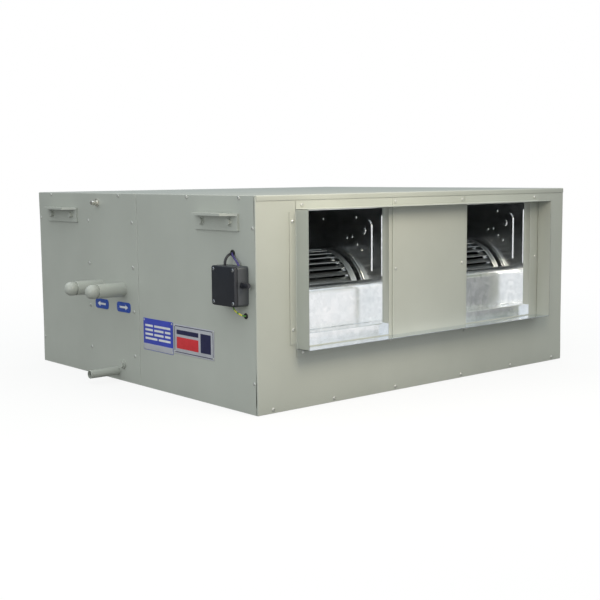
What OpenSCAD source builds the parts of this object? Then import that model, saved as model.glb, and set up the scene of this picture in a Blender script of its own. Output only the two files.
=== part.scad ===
// Ducted fan coil unit: insulated sheet-metal casing, two double-inlet blowers on one
// double-shaft motor, a water coil over a drain pan and a slide-out return air filter.
// Origin: centre of the casing's underside. +Z up, air leaves along -Y, water joins on -X.

/* [Casing] */
// Width of the casing, side panel to side panel
casing_w = 1020; // [960:10:1200]
// Depth of the casing, outlet face to return face
casing_d = 925; // [900:5:1100]
// Height of the casing
casing_h = 450; // [440:5:520]
// Thickness of the casing sheet
sheet = 1.2; // [0.9:0.1:1.6]
// Depth of the fan section, outlet face to the seam with the coil section
fan_section_d = 445; // [430:5:520]
// Height of the lip folded down around the top cover
top_lip = 11; // [10:1:20]
// Height of the lip folded up around the base tray
base_lip = 18; // [15:1:20]
// Depth of the edges folded inwards on the front and rear sheets
return_w = 20; // [16:1:22]
// Gap that shows between the two side panels
seam_gap = 0.6; // [0.4:0.1:0.9]
// Slip clearance between one folded sheet and the next
slip = 0.2; // [0.1:0.05:0.3]
// Thickness of the foam lining
lining_t = 10; // [6:1:14]

/* [Duct collars] */
// Outside width of the outlet collar
collar_w = 810; // [790:2:860]
// Gap between the outlets and the collar's lower wall
collar_under = 27; // [22:1:35]
// Gap between the outlets and the collar's upper wall
collar_over = 5; // [3:1:9]
// Depth of the outlet collar
collar_d = 40; // [25:1:60]
// Width of the collar's fixing legs
collar_leg = 17; // [12:1:18]
// Width of the plate between the two outlets
plate_w = 243; // [235:1:250]
// Thickness of that plate
plate_t = 2.5; // [1.5:0.5:4]
// Width of the return opening
return_open_w = 900; // [700:10:920]
// Height of the sheet above and below the return opening
return_margin = 40; // [35:1:75]
// Depth of the return spigot
spigot_d = 25; // [15:1:50]

/* [Hangers] */
// Length of each hanger bracket along the casing
hanger_l = 152; // [130:2:160]
// Height of the hanger's fixing leg
hanger_leg = 36; // [30:1:50]
// How far the hanger's flange stands out
hanger_out = 31; // [26:1:50]
// Thickness of the hanger plate
hanger_t = 5; // [3:0.5:6]
// Distance from the top of the casing down to the hanger flanges
hanger_drop = 37; // [30:1:60]
// Distance between the front and rear hangers
hanger_pitch = 667; // [640:1:680]
// Diameter of the hole for the hanging rod
rod_hole_d = 11; // [9:0.5:13]
// Distance between the two bolts of a hanger
hanger_bolt_pitch = 99; // [70:1:110]

/* [Blowers] */
// Distance between the two blower centres
blower_pitch = 505; // [500:1:520]
// Diameter of the blower wheels
wheel_d = 240; // [230:1:244]
// Width of the blower wheels
wheel_w = 210; // [170:1:212]
// Number of blades on a wheel
blade_n = 40; // [30:1:44]
// Distance of the fan axis behind the outlet face
wheel_setback = 195; // [190:1:200]
// Gap between the scroll and the lining under it
scroll_gap = 21.3; // [15:0.1:25]
// Width of a blower outlet
outlet_w = 232; // [224:1:236]
// Height of a blower outlet
outlet_h = 260; // [256:1:262]
// Distance from the top of the casing down to the blower outlets
outlet_drop = 35; // [33:1:40]
// Distance of the blower outlet behind the outlet face
outlet_recess = 16; // [10:1:20]
// Thickness of the blower sheet
blower_t = 1; // [0.8:0.1:1.2]
// Gap between the wheel and the cut-off
cut_clear = 8; // [6:0.5:10]
// Margin of the front panel's cut-outs around an outlet
cut_margin = 5; // [3:0.5:5.5]

/* [Motor] */
// Diameter of the motor and fan shaft
shaft_d = 16; // [12:0.5:20]
// Diameter of the motor shell
motor_d = 150; // [140:2:180]
// Length of the motor shell
motor_l = 130; // [110:2:140]

/* [Coil] */
// Depth of the coil casing
coil_d = 216; // [210:1:230]
// Distance of the coil casing behind the seam
coil_setback = 14; // [12:1:20]
// Distance between the two water stubs
stub_pitch = 100.5; // [97:0.5:106]
// Height of the water stubs
stub_z = 223; // [200:1:240]
// Outside diameter of the water stubs
stub_d = 33.7; // [26.9:0.1:34]
// How far the water stubs stand out
stub_out = 100; // [80:1:120]
// Outside diameter of the headers
header_d = 42.4; // [40:0.1:46]
// Outside diameter of the coil tubes
tube_d = 12.7; // [9.5:0.1:13]
// Wall of the coil tubes
tube_wall = 1; // [0.6:0.1:1.5]
// Number of tubes in the height of the coil
tube_n = 9; // [7:1:9]
// Distance between tubes in the height of the coil
tube_pitch = 38; // [36:1:40]
// Height of the lower edge of the coil
coil_z0 = 60; // [59:1:64]

/* [Drain] */
// Height of the drain pan's wall
pan_h = 42; // [38:1:46]
// Outside diameter of the drain pipe
drain_d = 20; // [16:0.5:22]
// How far the drain pipe stands out
drain_out = 80; // [50:1:120]
// Distance of the drain pipe behind the coil casing's front edge
drain_y = 84; // [80:1:110]

/* [Filter] */
// Thickness of the filter frame
filter_t = 20; // [16:1:24]
// Distance of the filter's middle in front of the return face
filter_setback = 35; // [34:1:40]
// Height of the filter's lower edge, and the same distance from its upper edge to the top
filter_z0 = 30; // [28:1:36]

/* [Terminal box] */
// Width of the terminal box along the casing
box_w = 80; // [76:1:90]
// Height of the terminal box
box_h = 82; // [70:1:100]
// Depth of the terminal box with its lid
box_d = 37; // [36:1:44]
// Distance of the box's middle behind the outlet face
box_setback = 64.5; // [62:0.5:80]
// Distance from the top of the casing down to the box's middle
box_drop = 184; // [170:1:195]

/* [Fasteners] */
// Diameter of a casing screw's head
screw_head_d = 8; // [6:0.5:9]
// Diameter of a casing screw's shank
screw_d = 4; // [3:0.1:4.8]
// Diameter of the hanger bolts
bolt_d = 8; // [6:1:10]

/* [Hidden] */
$fn = 48;

// Overshoot of a cut past the face it starts from
past = 1;
// How far a fastener's hole is cut to each side of the face
hole_reach = 25;
// Clearance of a shank in its hole, a bar in its seat and a shaft in its bearing
hole_fit = 0.2;
seat_fit = 0.1;
run_fit = 0.04;

// Casing faces
left_x = -casing_w / 2;
right_x = casing_w / 2;
front_y = -casing_d / 2;
rear_y = casing_d / 2;
seam_y = front_y + fan_section_d;
lip_out = slip + sheet;
panel_z0 = sheet;
panel_z1 = casing_h - sheet;
flange_in = 18;
side_y0 = front_y + sheet + slip;
side_y1 = rear_y - sheet - slip;
return_x = right_x - sheet - slip;

// Collar and plate on the outlet face
outlet_z1 = casing_h - outlet_drop;
outlet_z0 = outlet_z1 - outlet_h;
collar_x = collar_w / 2;
collar_z0 = outlet_z0 - collar_under;
collar_z1 = outlet_z1 + collar_over;
collar_leg_end = 10;
cut_rest = 2;
cut_z0 = collar_z0 + sheet + cut_rest;
plate_x = plate_w / 2;
plate_gap = 1;

// Hangers
hanger_z = casing_h - hanger_drop;
hanger_bolt_z = hanger_z - hanger_leg / 2;

// Blowers
blower_x = [-blower_pitch / 2, blower_pitch / 2];
fan_y = front_y + wheel_setback;
outlet_y = front_y + outlet_recess;
outlet_x = outlet_w / 2;
blower_flange = 14;
cut_r = wheel_d / 2 + cut_clear;
// The scroll grows evenly from the cut-off to the outlet's top. It stands scroll_gap over the
// lining where it passes below the axis, and that sets its last radius and the axis height.
cut_a = 155.5;
low_a = 270;
top_a = 450;
low_share = (low_a - cut_a) / (top_a - cut_a);
low_z = sheet + lining_t + scroll_gap + blower_t;
top_r = (outlet_z1 - low_z - cut_r * (1 - low_share)) / (1 + low_share);
fan_z = outlet_z1 - top_r;
spiral_steps = 29;
join_a = 200;
tongue_gap = 3;
tongue_bend_a = 84;
tongue_steps = 8;
ring_r = wheel_d / 2 + cut_clear / 2;
blade_depth = 22;
throat_clear = 4;
throat_r = wheel_d / 2 - blade_depth - throat_clear;
throat_bend = 15;

// Wheels
wheel_band = 17;
wheel_ring = 3;
wheel_ring_w = 8;
wheel_ring_r = wheel_d / 2 - wheel_ring_w;
blade_in_r = wheel_d / 2 - blade_depth;
blade_inset = 1.5;
blade_out_r = wheel_d / 2 - blade_inset;
blade_lead = 11;
blade_t = 1.2;
blade_steps = 4;
wheel_disc = 2.5;
disc_grip = 6;
hub_wall = 12;
hub_r = shaft_d / 2 + hub_wall;
hub_l = 44;
shaft_past = 6;
shaft_l = blower_pitch + hub_l + 2 * shaft_past;

// Motor
motor_r = motor_d / 2;
shell_t = 2;
bell_l = 28;
bell_rim = 6;
nose_l = 16;
nose_r = 27;
bearing_r = 20;
bearing_w = 12;
stator_l = 80;
stator_r = 46;
air_gap = 0.7;
ring_t = 8;
ring_w = 12;
cradle_t = 3;
cradle_d = 110;
cradle_x = motor_l / 2 + bell_l + nose_l / 2;
cradle_top = 45;
cradle_bolt_in = 22;
cradle_bolt_x = cradle_x - cradle_bolt_in;
cradle_bolt_y = 42;
shaft_r = shaft_d / 2;

// Coil
coil_y0 = seam_y + coil_setback;
coil_y1 = coil_y0 + coil_d;
row_shift = 4.25;
coil_mid = (coil_y0 + coil_y1) / 2 - row_shift;
coil_lip = 14;
coil_top_gap = 2;
coil_z1 = casing_h - sheet - lining_t - coil_top_gap;
header_room = 85;
bend_room = 55;
web_left = left_x + header_room;
web_right = right_x - bend_room;
fin_margin = 8;
row_n = 4;
row_pitch = stub_pitch / (row_n - 1);
row_y = [for (i = [0:row_n - 1]) coil_mid - stub_pitch / 2 + i * row_pitch];
tube_r = tube_d / 2;
tube_z = [for (i = [0:tube_n - 1]) (coil_z0 + coil_z1) / 2 + (i - (tube_n - 1) / 2) * tube_pitch];
bend_r = row_pitch / 2;
leg_out = 4;
header_r = header_d / 2;
header_wall = 2.6;
header_gap = 20;
header_x = left_x + header_r + header_gap;
header_lift = 4;
header_z0 = coil_z0 + header_lift;
header_z1 = coil_z1;
stub_r = stub_d / 2;
stub_wall = 3.2;
stub_room = 2;
stub_hole = stub_r + stub_room;
stub_in = 3;
// Pipes are turned down by this much inside the casing, up to a shoulder outside the lips
turned = 0.4;
shoulder_x = left_x - lip_out - past;
cap_groove = 1.5;
cap_rim = 12;
cap_dome = 16;

// Air vent, near the top of the return header
vent_shift = 7;
vent_drop = 10;
vent_y = row_y[3] + vent_shift;
vent_z = header_z1 - vent_drop;
vent_tail_r = 4.5;
vent_nut = 10;
vent_nut_h = 5;
vent_body_r = 6.5;
vent_body_l = 12;
vent_knob_r = 5;
vent_knob_l = 6;
vent_stem_r = 2.5;
vent_stem_l = 8;

// Drain
pan_t = 1;
pan_z = sheet + lining_t;
pan_gap = 8;
pan_over = 8;
pan_x = right_x - sheet - pan_gap;
pan_y0 = coil_y0 - pan_over;
pan_y1 = coil_y1 + pan_over;
drain_r = drain_d / 2;
drain_wall = 1.6;
drain_lift = 1;
drain_z = pan_z + pan_t + drain_r + drain_lift;
drain_at = coil_y0 + drain_y;
plug_r = 11;
plug_shift = 24;
plug_y = drain_at - plug_shift;
plug_z = pan_z + pan_h - plug_r;
plug_out = 9;
plug_stem_r = 7;

// Filter
filter_y = rear_y - filter_setback;
filter_z1 = casing_h - filter_z0;
filter_end_gap = 8;
filter_x0 = left_x + sheet + filter_end_gap;
filter_bar = 18;
filter_gap = 0.4;
media_in = 3;
media_t = filter_t - 2 * media_in;
media_fit = 0.2;
rail_t = 1.2;
rail_lip = 10;
slot_gap = 1.2;
cap_t = 1.5;
cap_over = 7;
cap_gap = 0.3;
grip_r = 4;
grip_l = 90;
grip_out = 24;

// Terminal box and the two cords beside it
box_y = front_y + box_setback;
box_z = casing_h - box_drop;
box_wall = 2.5;
lid_t = 10;
lid_wall = 2;
lid_screw_in = 7;
gland_r = 7;
gland_l = 22;
gland_up = 3;
gland_off = 16;
gland_z = box_z + gland_up;
gland_x = left_x - gland_off;
lead_d = 5.5;
earth_d = 3.5;
cord_sides = 8;
lead_shift = 11.5;
earth_shift = 30.5;
lead_rise = 24;
earth_drop = 21;
lead_y = box_y + lead_shift;
earth_y = box_y - earth_shift;
lead_hole_z = box_z + box_h / 2 + lead_rise;
earth_hole_z = box_z - box_h / 2 - earth_drop;
grommet_lip = 2.2;
grommet_wall = 2;
grommet_h = 2;
// Routes as offsets [out from the panel, towards the rear, up from the panel hole]
lead_route = [[-8, 0, 0], [0, 0, 0], [6, 0, -1], [12, 0, -4], [17, 0, -9], [20, 0, -15], [21, 0, -22],
    [21, 0, -28]];
earth_route = [[-8, 0, 0], [0, 0, 0], [5, 1, 0.5], [10, 4, 2.5], [14, 9, 6], [17, 15, 11], [18, 19, 17],
    [18, 19, 25]];

// Plates and labels on the left side
label_t = 0.6;
data_back = 80;
data_y = seam_y - data_back;
data_z = 127;
data_size = [122, 74];
name_back = 221;
name_y = seam_y - name_back;
name_z = 129;
name_size = [154, 66];
flow_size = [62, 24];
flow_drop = 43;
flow_z = stub_z - flow_drop;
flow_shift = [-0.5, 0];

// Fasteners
screw_r = screw_d / 2;
head_r = screw_head_d / 2;
head_h = 2.4;
screw_grip = 6;
bolt_r = bolt_d / 2;
bolt_head_r = bolt_d * 0.94;
bolt_head_h = bolt_d * 0.66;
bolt_grip = 14;
washer_t = 1.2;

// Where the screws sit. Sides: [along Y, height, how far the seat stands off the panel]
lip_screw_z = casing_h - top_lip / 2;
coil_screw_y = [coil_y0 + coil_lip / 2, coil_y1 - coil_lip / 2];
coil_screw_in = 67.5;
coil_screw_n = 4;
coil_screw_pitch = (casing_h - 2 * coil_screw_in) / (coil_screw_n - 1);
edge_screw_y = front_y + return_w * 0.45;
edge_screw_in = 66;
edge_screw_z = [edge_screw_in, casing_h - edge_screw_in];
rear_screw_y = rear_y - return_w * 0.45;
lip_screw_back = [52, 238];
lip_screw_mid = 40.75;
lip_screw_in = 70;
lip_screw_y = [front_y + lip_screw_back[0], front_y + lip_screw_back[1],
    coil_mid - lip_screw_mid, rear_y - lip_screw_in];
side_screws = concat(
    [for (y = coil_screw_y) for (i = [0:coil_screw_n - 1])
        [y, coil_screw_in + i * coil_screw_pitch, 0]],
    [for (z = edge_screw_z) [edge_screw_y, z, 0]],
    [for (z = edge_screw_z) [rear_screw_y, z, 0]],
    [for (y = lip_screw_y) [y, lip_screw_z, lip_out]]);
// Outlet face: [along X, height, how far the seat stands off the panel]
collar_screw_x = collar_x + collar_leg / 2;
collar_screw_in = [42, 25];
collar_screw_z = [collar_z0 + collar_screw_in[0], collar_z1 - collar_screw_in[1]];
top_leg_z = collar_z1 + collar_leg / 2;
low_leg_z = collar_z0 - collar_leg / 2;
middle_screw_up = 5;
middle_screw_z = (collar_z0 + collar_z1) / 2 + middle_screw_up;
plate_screw_in = 9;
plate_screw_x = plate_x - plate_screw_in;
leg_screw_in = 17;
leg_screw_x = collar_x - leg_screw_in;
plate_screw_out = 7;
frame_screw_out = 21.5;
frame_screw_x = blower_pitch / 2 + outlet_x + cut_margin + frame_screw_out;
base_screw_x = [112, 300, 470];
face_screws = concat(
    [for (s = [-1, 1]) for (z = collar_screw_z) [s * collar_screw_x, z, sheet]],
    [for (s = [-1, 1]) for (z = [top_leg_z, low_leg_z]) [s * leg_screw_x, z, sheet]],
    [for (s = [-1, 1]) [s * (plate_x + plate_screw_out), low_leg_z, sheet]],
    [for (s = [-1, 1]) [s * plate_screw_x, middle_screw_z, plate_t]],
    [for (s = [-1, 1]) [s * plate_screw_x, top_leg_z, sheet]],
    [for (s = [-1, 1]) [s * frame_screw_x, middle_screw_z, 0]],
    [for (s = [-1, 1]) for (x = base_screw_x) [s * x, base_lip / 2, lip_out]]);

// Paint and metal colours
paint = "#B9B8A8";
zinc = "#C9CDCB";
copper = "#B87448";
black = "#2E3036";
steel = "#8F9496";
foam = "#3C3F40";

// A box from its two corners
module slab(x0, x1, y0, y1, z0, z1) {
    translate([x0, y0, z0]) cube([x1 - x0, y1 - y0, z1 - z0]);
}
// A profile drawn in Y and Z, carried along X
module along_x(x0, w) {
    translate([x0, 0, 0]) rotate([90, 0, 90]) linear_extrude(w) children();
}
// Children that point along +Z, turned to point out of a casing face
module on_left(y, z, off = 0) { translate([left_x - off, y, z]) rotate([0, -90, 0]) children(); }
module on_right(y, z, off = 0) { translate([right_x + off, y, z]) rotate([0, 90, 0]) children(); }
module on_front(x, z, off = 0) { translate([x, front_y - off, z]) rotate([90, 0, 0]) children(); }
module along_fan(x) { translate([x, fan_y, fan_z]) rotate([0, 90, 0]) children(); }

module ring(r1, r0, h) {
    difference() {
        cylinder(r = r1, h = h);
        translate([0, 0, -past]) cylinder(r = r0, h = h + 2 * past);
    }
}
// Cross-head screw with a low domed head
module pan_screw(grip) {
    slot_w = head_r * 0.22;
    difference() {
        rotate_extrude() polygon([[0, 0], [head_r, 0], [head_r, head_h * 0.35],
            [head_r * 0.82, head_h * 0.72], [head_r * 0.5, head_h * 0.95], [0, head_h]]);
        for (a = [0, 90]) rotate(a)
            translate([-head_r * 0.6, -slot_w / 2, head_h * 0.45])
                cube([head_r * 1.2, slot_w, head_h]);
    }
    translate([0, 0, -grip]) cylinder(r = screw_r, h = grip);
}
module screw_hole() { translate([0, 0, -hole_reach]) cylinder(r = screw_r + hole_fit, h = 2 * hole_reach); }
module hex_bolt(grip) {
    cylinder(r = bolt_head_r * 1.2, h = washer_t);
    translate([0, 0, washer_t]) cylinder(r = bolt_head_r, h = bolt_head_h, $fn = 6);
    translate([0, 0, -grip]) cylinder(r = bolt_r, h = grip);
}
module bolt_hole() { translate([0, 0, -hole_reach]) cylinder(r = bolt_r + hole_fit, h = 2 * hole_reach); }

// Holes for the fasteners of the outlet face and of one side
module face_holes() { for (s = face_screws) on_front(s[0], s[1]) screw_hole(); }
module side_holes(left) {
    for (s = side_screws)
        if (left) on_left(s[0], s[1]) screw_hole();
        else on_right(s[0], s[1]) screw_hole();
    for (y = [-1, 1]) for (b = [-1, 1]) {
        if (left) on_left(y * hanger_pitch / 2 + b * hanger_bolt_pitch / 2, hanger_bolt_z) bolt_hole();
        else on_right(y * hanger_pitch / 2 + b * hanger_bolt_pitch / 2, hanger_bolt_z) bolt_hole();
    }
}

// Casing sheets
module base_tray() {
    lip_x = right_x + lip_out;
    lip_y0 = front_y - lip_out;
    lip_y1 = rear_y + lip_out;
    color(paint) difference() {
        slab(-lip_x, lip_x, lip_y0, lip_y1, 0, base_lip);
        slab(-lip_x + sheet, lip_x - sheet, lip_y0 + sheet, lip_y1 - sheet, sheet, base_lip + past);
        face_holes();
        on_left(drain_at, drain_z) cylinder(r = drain_r + 2, h = 4 * sheet, center = true);
        on_left(plug_y, plug_z) cylinder(r = plug_r + 1, h = 4 * sheet, center = true);
        for (x = [-1, 1]) for (y = [-1, 1])
            translate([x * cradle_bolt_x, fan_y + y * cradle_bolt_y, 0]) bolt_hole();
    }
}

module top_cover() {
    lip_x = right_x + lip_out;
    lip_y0 = front_y - lip_out;
    lip_y1 = rear_y + lip_out;
    color(paint) difference() {
        slab(-lip_x, lip_x, lip_y0, lip_y1, casing_h - top_lip, casing_h);
        slab(-lip_x + sheet, lip_x - sheet, lip_y0 + sheet, lip_y1 - sheet,
            casing_h - top_lip - past, panel_z1);
        side_holes(true);
        side_holes(false);
    }
}

// Upright sheet across the casing with its edges folded inwards, outlet or return side
module end_sheet(y0, inward) {
    y_in = y0 + inward * return_w;
    y_skin = y0 + inward * sheet;
    slab(left_x, right_x, min(y0, y_skin), max(y0, y_skin), panel_z0, panel_z1);
    for (s = [-1, 1])
        slab(min(s * return_x, s * (return_x - sheet)), max(s * return_x, s * (return_x - sheet)),
            min(y0, y_in), max(y0, y_in), panel_z0, panel_z1);
}

module front_panel() {
    color(paint) difference() {
        end_sheet(front_y, 1);
        for (x = blower_x)
            slab(x - outlet_x - cut_margin, x + outlet_x + cut_margin, front_y - past,
                front_y + sheet + past, cut_z0, outlet_z1 + cut_margin);
        face_holes();
        side_holes(true);
        side_holes(false);
    }
}

module rear_frame() {
    open_x = return_open_w / 2;
    open_z0 = return_margin;
    open_z1 = casing_h - return_margin;
    color(paint) difference() {
        union() {
            end_sheet(rear_y, -1);
            slab(-open_x - sheet, open_x + sheet, rear_y - sheet, rear_y + spigot_d,
                open_z0 - sheet, open_z1 + sheet);
        }
        slab(-open_x, open_x, rear_y - 2 * sheet, rear_y + spigot_d + past, open_z0, open_z1);
        side_holes(true);
        side_holes(false);
    }
}

// One side panel with the flange that meets its neighbour at the seam
module side_panel(left, y0, y1, flange_at) {
    s = left ? -1 : 1;
    x_out = s * right_x;
    x_skin = s * (right_x - sheet);
    x_in = s * (right_x - flange_in);
    slab(min(x_out, x_skin), max(x_out, x_skin), y0, y1, panel_z0, panel_z1);
    slab(min(x_out, x_in), max(x_out, x_in), flange_at, flange_at + sheet, panel_z0, panel_z1);
}

fan_side_y1 = seam_y - seam_gap / 2;
coil_side_y0 = seam_y + seam_gap / 2;

module left_fan_panel() {
    color(paint) difference() {
        side_panel(true, side_y0, fan_side_y1, fan_side_y1 - sheet);
        side_holes(true);
        on_left(lead_y, lead_hole_z)
            cylinder(r = grommet_r(lead_d) + seat_fit, h = 4 * sheet, center = true);
        on_left(earth_y, earth_hole_z)
            cylinder(r = grommet_r(earth_d) + seat_fit, h = 4 * sheet, center = true);
    }
}

module right_fan_panel() {
    color(paint) difference() {
        side_panel(false, side_y0, fan_side_y1, fan_side_y1 - sheet);
        side_holes(false);
    }
}

module left_coil_panel() {
    color(paint) difference() {
        side_panel(true, coil_side_y0, side_y1, coil_side_y0);
        side_holes(true);
        for (y = [row_y[0], row_y[3]])
            on_left(y, stub_z) cylinder(r = stub_hole, h = 4 * sheet, center = true);
        on_left(vent_y, vent_z) cylinder(r = vent_tail_r + hole_fit, h = 4 * sheet, center = true);
        on_left(drain_at, drain_z) cylinder(r = drain_r + hole_fit, h = 4 * sheet, center = true);
        on_left(plug_y, plug_z) cylinder(r = plug_stem_r + hole_fit, h = 4 * sheet, center = true);
    }
}

module right_coil_panel() {
    color(paint) difference() {
        side_panel(false, coil_side_y0, side_y1, coil_side_y0);
        side_holes(false);
        filter_slot();
    }
}

// Slot in the right side that the filter slides through
module filter_slot() {
    slab(right_x - return_w, right_x + past, filter_y - filter_t / 2 - slot_gap,
        filter_y + filter_t / 2 + slot_gap, filter_z0 - slot_gap, filter_z1 + slot_gap);
}

// Foam sheets glued to the inside of the casing
module foam_lining() {
    lining_y0 = front_y + return_w + 4;
    lining_y1 = fan_side_y1 - sheet - 4;
    lining_x = right_x - flange_in - 4;
    cradle_edge = cradle_x + cradle_t + 8;
    top_end = filter_y - filter_t / 2 - rail_t - 8;
    color(foam) difference() {
        union() {
            slab(-lining_x, lining_x, lining_y0, top_end, panel_z1 - lining_t, panel_z1);
            for (s = [-1, 1]) {
                slab(min(s * (right_x - sheet), s * (right_x - sheet - lining_t)),
                    max(s * (right_x - sheet), s * (right_x - sheet - lining_t)),
                    lining_y0, lining_y1, sheet + lining_t + 1, hanger_bolt_z - 22);
                slab(min(s * cradle_edge, s * lining_x), max(s * cradle_edge, s * lining_x),
                    lining_y0, lining_y1, sheet, sheet + lining_t);
            }
            slab(-lining_x, lining_x, pan_y0, pan_y1, sheet, sheet + lining_t);
        }
        on_left(lead_y, lead_hole_z) cylinder(r = grommet_r(lead_d) + 2, h = 4 * lining_t, center = true);
        on_left(earth_y, earth_hole_z) cylinder(r = grommet_r(earth_d) + 2, h = 4 * lining_t, center = true);
    }
}

// Angles that make the outlet collar
module collar_sides() {
    color(paint) difference() {
        for (s = [-1, 1]) {
            slab(min(s * collar_x, s * (collar_x - sheet)), max(s * collar_x, s * (collar_x - sheet)),
                front_y - collar_d, front_y, collar_z0, collar_z1);
            slab(min(s * (collar_x - sheet), s * (collar_x + collar_leg)),
                max(s * (collar_x - sheet), s * (collar_x + collar_leg)),
                front_y - sheet, front_y, collar_z0 + collar_leg_end, collar_z1 - collar_leg_end / 2);
        }
        face_holes();
    }
}

module collar_top() {
    color(paint) difference() {
        union() {
            slab(-collar_x + sheet, collar_x - sheet, front_y - collar_d, front_y,
                collar_z1 - sheet, collar_z1);
            for (s = [-1, 1])
                slab(min(s * collar_x, s * (plate_x + plate_gap)),
                    max(s * collar_x, s * (plate_x + plate_gap)),
                    front_y - sheet, front_y, collar_z1 - sheet, collar_z1 + collar_leg);
        }
        collar_sides_room();
        face_holes();
    }
}
// Space that the collar's side walls take at its corners
module collar_sides_room() {
    for (s = [-1, 1])
        slab(min(s * (collar_x - sheet), s * (collar_x + past)),
            max(s * (collar_x - sheet), s * (collar_x + past)),
            front_y - collar_d - past, front_y + past, collar_z0 - past, collar_z1);
}

module collar_bottom() {
    color(paint) difference() {
        union() {
            slab(-collar_x + sheet, collar_x - sheet, front_y - collar_d, front_y,
                collar_z0, collar_z0 + sheet);
            for (s = [-1, 1])
                slab(min(s * (collar_x - sheet), s * (plate_x + plate_gap)),
                    max(s * (collar_x - sheet), s * (plate_x + plate_gap)),
                    front_y - sheet, front_y, collar_z0 - collar_leg, collar_z0 + sheet);
        }
        face_holes();
    }
}

// Plate between the outlets and the short strip above it
module centre_plate() {
    color(paint) difference() {
        union() {
            slab(-plate_x, plate_x, front_y - plate_t, front_y,
                collar_z0 + sheet, collar_z1 - sheet);
            slab(-plate_x, plate_x, front_y - sheet, front_y, collar_z1, collar_z1 + collar_leg);
        }
        face_holes();
    }
}

module casing_screws() {
    color(steel) {
        for (s = side_screws) {
            on_left(s[0], s[1], s[2]) pan_screw(screw_grip);
            on_right(s[0], s[1], s[2]) pan_screw(screw_grip);
        }
        for (s = face_screws) on_front(s[0], s[1], s[2]) pan_screw(screw_grip);
    }
}

// Hanger bracket: fixing leg on the panel and a flange with cut corners and a rod hole
module hanger() {
    half = hanger_l / 2;
    cut = hanger_out - hanger_t;
    difference() {
        union() {
            slab(0, hanger_t, -half, half, -hanger_leg, 0);
            translate([0, 0, -hanger_t]) linear_extrude(hanger_t)
                polygon([[0, -half], [hanger_t, -half], [hanger_out, -half + cut],
                    [hanger_out, half - cut], [hanger_t, half], [0, half]]);
        }
        translate([hanger_out / 2 + hanger_t / 2, 0, -2 * hanger_t])
            cylinder(r = rod_hole_d / 2, h = 3 * hanger_t);
        for (b = [-1, 1])
            translate([0, b * hanger_bolt_pitch / 2, -hanger_leg / 2]) rotate([0, 90, 0]) bolt_hole();
    }
}
module left_hangers() {
    color(paint) for (s = [-1, 1])
        translate([left_x, s * hanger_pitch / 2, hanger_z]) rotate(180) hanger();
}
module right_hangers() {
    color(paint) for (s = [-1, 1]) translate([right_x, s * hanger_pitch / 2, hanger_z]) hanger();
}
module hanger_bolts() {
    color(paint) for (s = [-1, 1]) for (b = [-1, 1]) {
        y = s * hanger_pitch / 2 + b * hanger_bolt_pitch / 2;
        on_left(y, hanger_bolt_z, hanger_t) hex_bolt(bolt_grip);
        on_right(y, hanger_bolt_z, hanger_t) hex_bolt(bolt_grip);
    }
}

// Blowers
function spiral_r(a) = cut_r + (top_r - cut_r) * (a - cut_a) / (top_a - cut_a);
function spiral_pt(a, off) = [fan_y + (spiral_r(a) + off) * cos(a), fan_z + (spiral_r(a) + off) * sin(a)];
function spiral(a0, a1, off) =
    [for (i = [0:spiral_steps]) spiral_pt(a0 + (a1 - a0) * i / spiral_steps, off)];

// Frame behind each cut-out that carries the blower's outlet flange
module outlet_frames() {
    wall_x = outlet_x + cut_margin;
    wall_z0 = cut_z0;
    wall_z1 = outlet_z1 + cut_margin;
    frame_leg = collar_leg + 10;
    y0 = front_y + sheet;
    color(paint) difference() {
        for (x = blower_x) difference() {
            union() {
                slab(x - wall_x - blower_t, x + wall_x + blower_t, y0, outlet_y,
                    wall_z0 - blower_t, wall_z1 + blower_t);
                for (s = [-1, 1])
                    slab(x + min(s * wall_x, s * (wall_x + frame_leg)),
                        x + max(s * wall_x, s * (wall_x + frame_leg)),
                        y0, y0 + blower_t, wall_z0, wall_z1);
            }
            slab(x - wall_x, x + wall_x, y0 - past, outlet_y + past, wall_z0, wall_z1);
        }
        slab(-plate_gap, plate_gap, front_y, outlet_y, 0, casing_h);
        face_holes();
    }
}

module scroll_wraps() {
    color(zinc) for (x = blower_x) {
        along_x(x - outlet_x, outlet_w)
            polygon(concat(spiral(cut_a, top_a, 0),
                [[outlet_y + blower_t, outlet_z1], [outlet_y + blower_t, outlet_z1 + blower_t]],
                spiral(top_a, cut_a, blower_t)));
        slab(x - outlet_x, x + outlet_x, outlet_y, outlet_y + blower_t, outlet_z1,
            outlet_z1 + blower_flange);
    }
}

module scroll_side_plates() {
    color(zinc) for (x = blower_x) for (s = [-1, 1]) {
        x0 = x + s * (outlet_x + blower_t / 2) - blower_t / 2;
        difference() {
            union() {
                along_x(x0, blower_t)
                    polygon(concat(spiral(join_a, top_a, blower_t),
                        [[outlet_y, outlet_z1 + blower_t], [outlet_y, outlet_z0 - blower_t]]));
                slab(x + min(s * outlet_x, s * (outlet_x + blower_flange)),
                    x + max(s * outlet_x, s * (outlet_x + blower_flange)),
                    outlet_y, outlet_y + blower_t, cut_z0 - blower_t, outlet_z1 + blower_flange);
            }
            along_fan(x0 - past) cylinder(r = throat_r + throat_bend, h = blower_t + 2 * past, $fn = 96);
        }
    }
}

// Inlet cone on the inside of a side plate, narrowing towards the wheel
module inlet_ring() {
    arc_n = 6;
    mid_r = throat_r + throat_bend;
    rotate_extrude($fn = 96) polygon(concat(
        [[ring_r, -blower_t], [ring_r, 0]],
        [for (i = [0:arc_n]) [mid_r - throat_bend * sin(90 * i / arc_n),
            -throat_bend + throat_bend * cos(90 * i / arc_n)]],
        [for (i = [arc_n:-1:0]) [mid_r - (throat_bend - blower_t) * sin(90 * i / arc_n),
            -throat_bend + (throat_bend - blower_t) * cos(90 * i / arc_n)]]));
}
module inlet_rings() {
    color(zinc) for (x = blower_x) {
        along_fan(x + outlet_x) inlet_ring();
        along_fan(x - outlet_x) mirror([0, 0, 1]) inlet_ring();
    }
}

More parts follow.
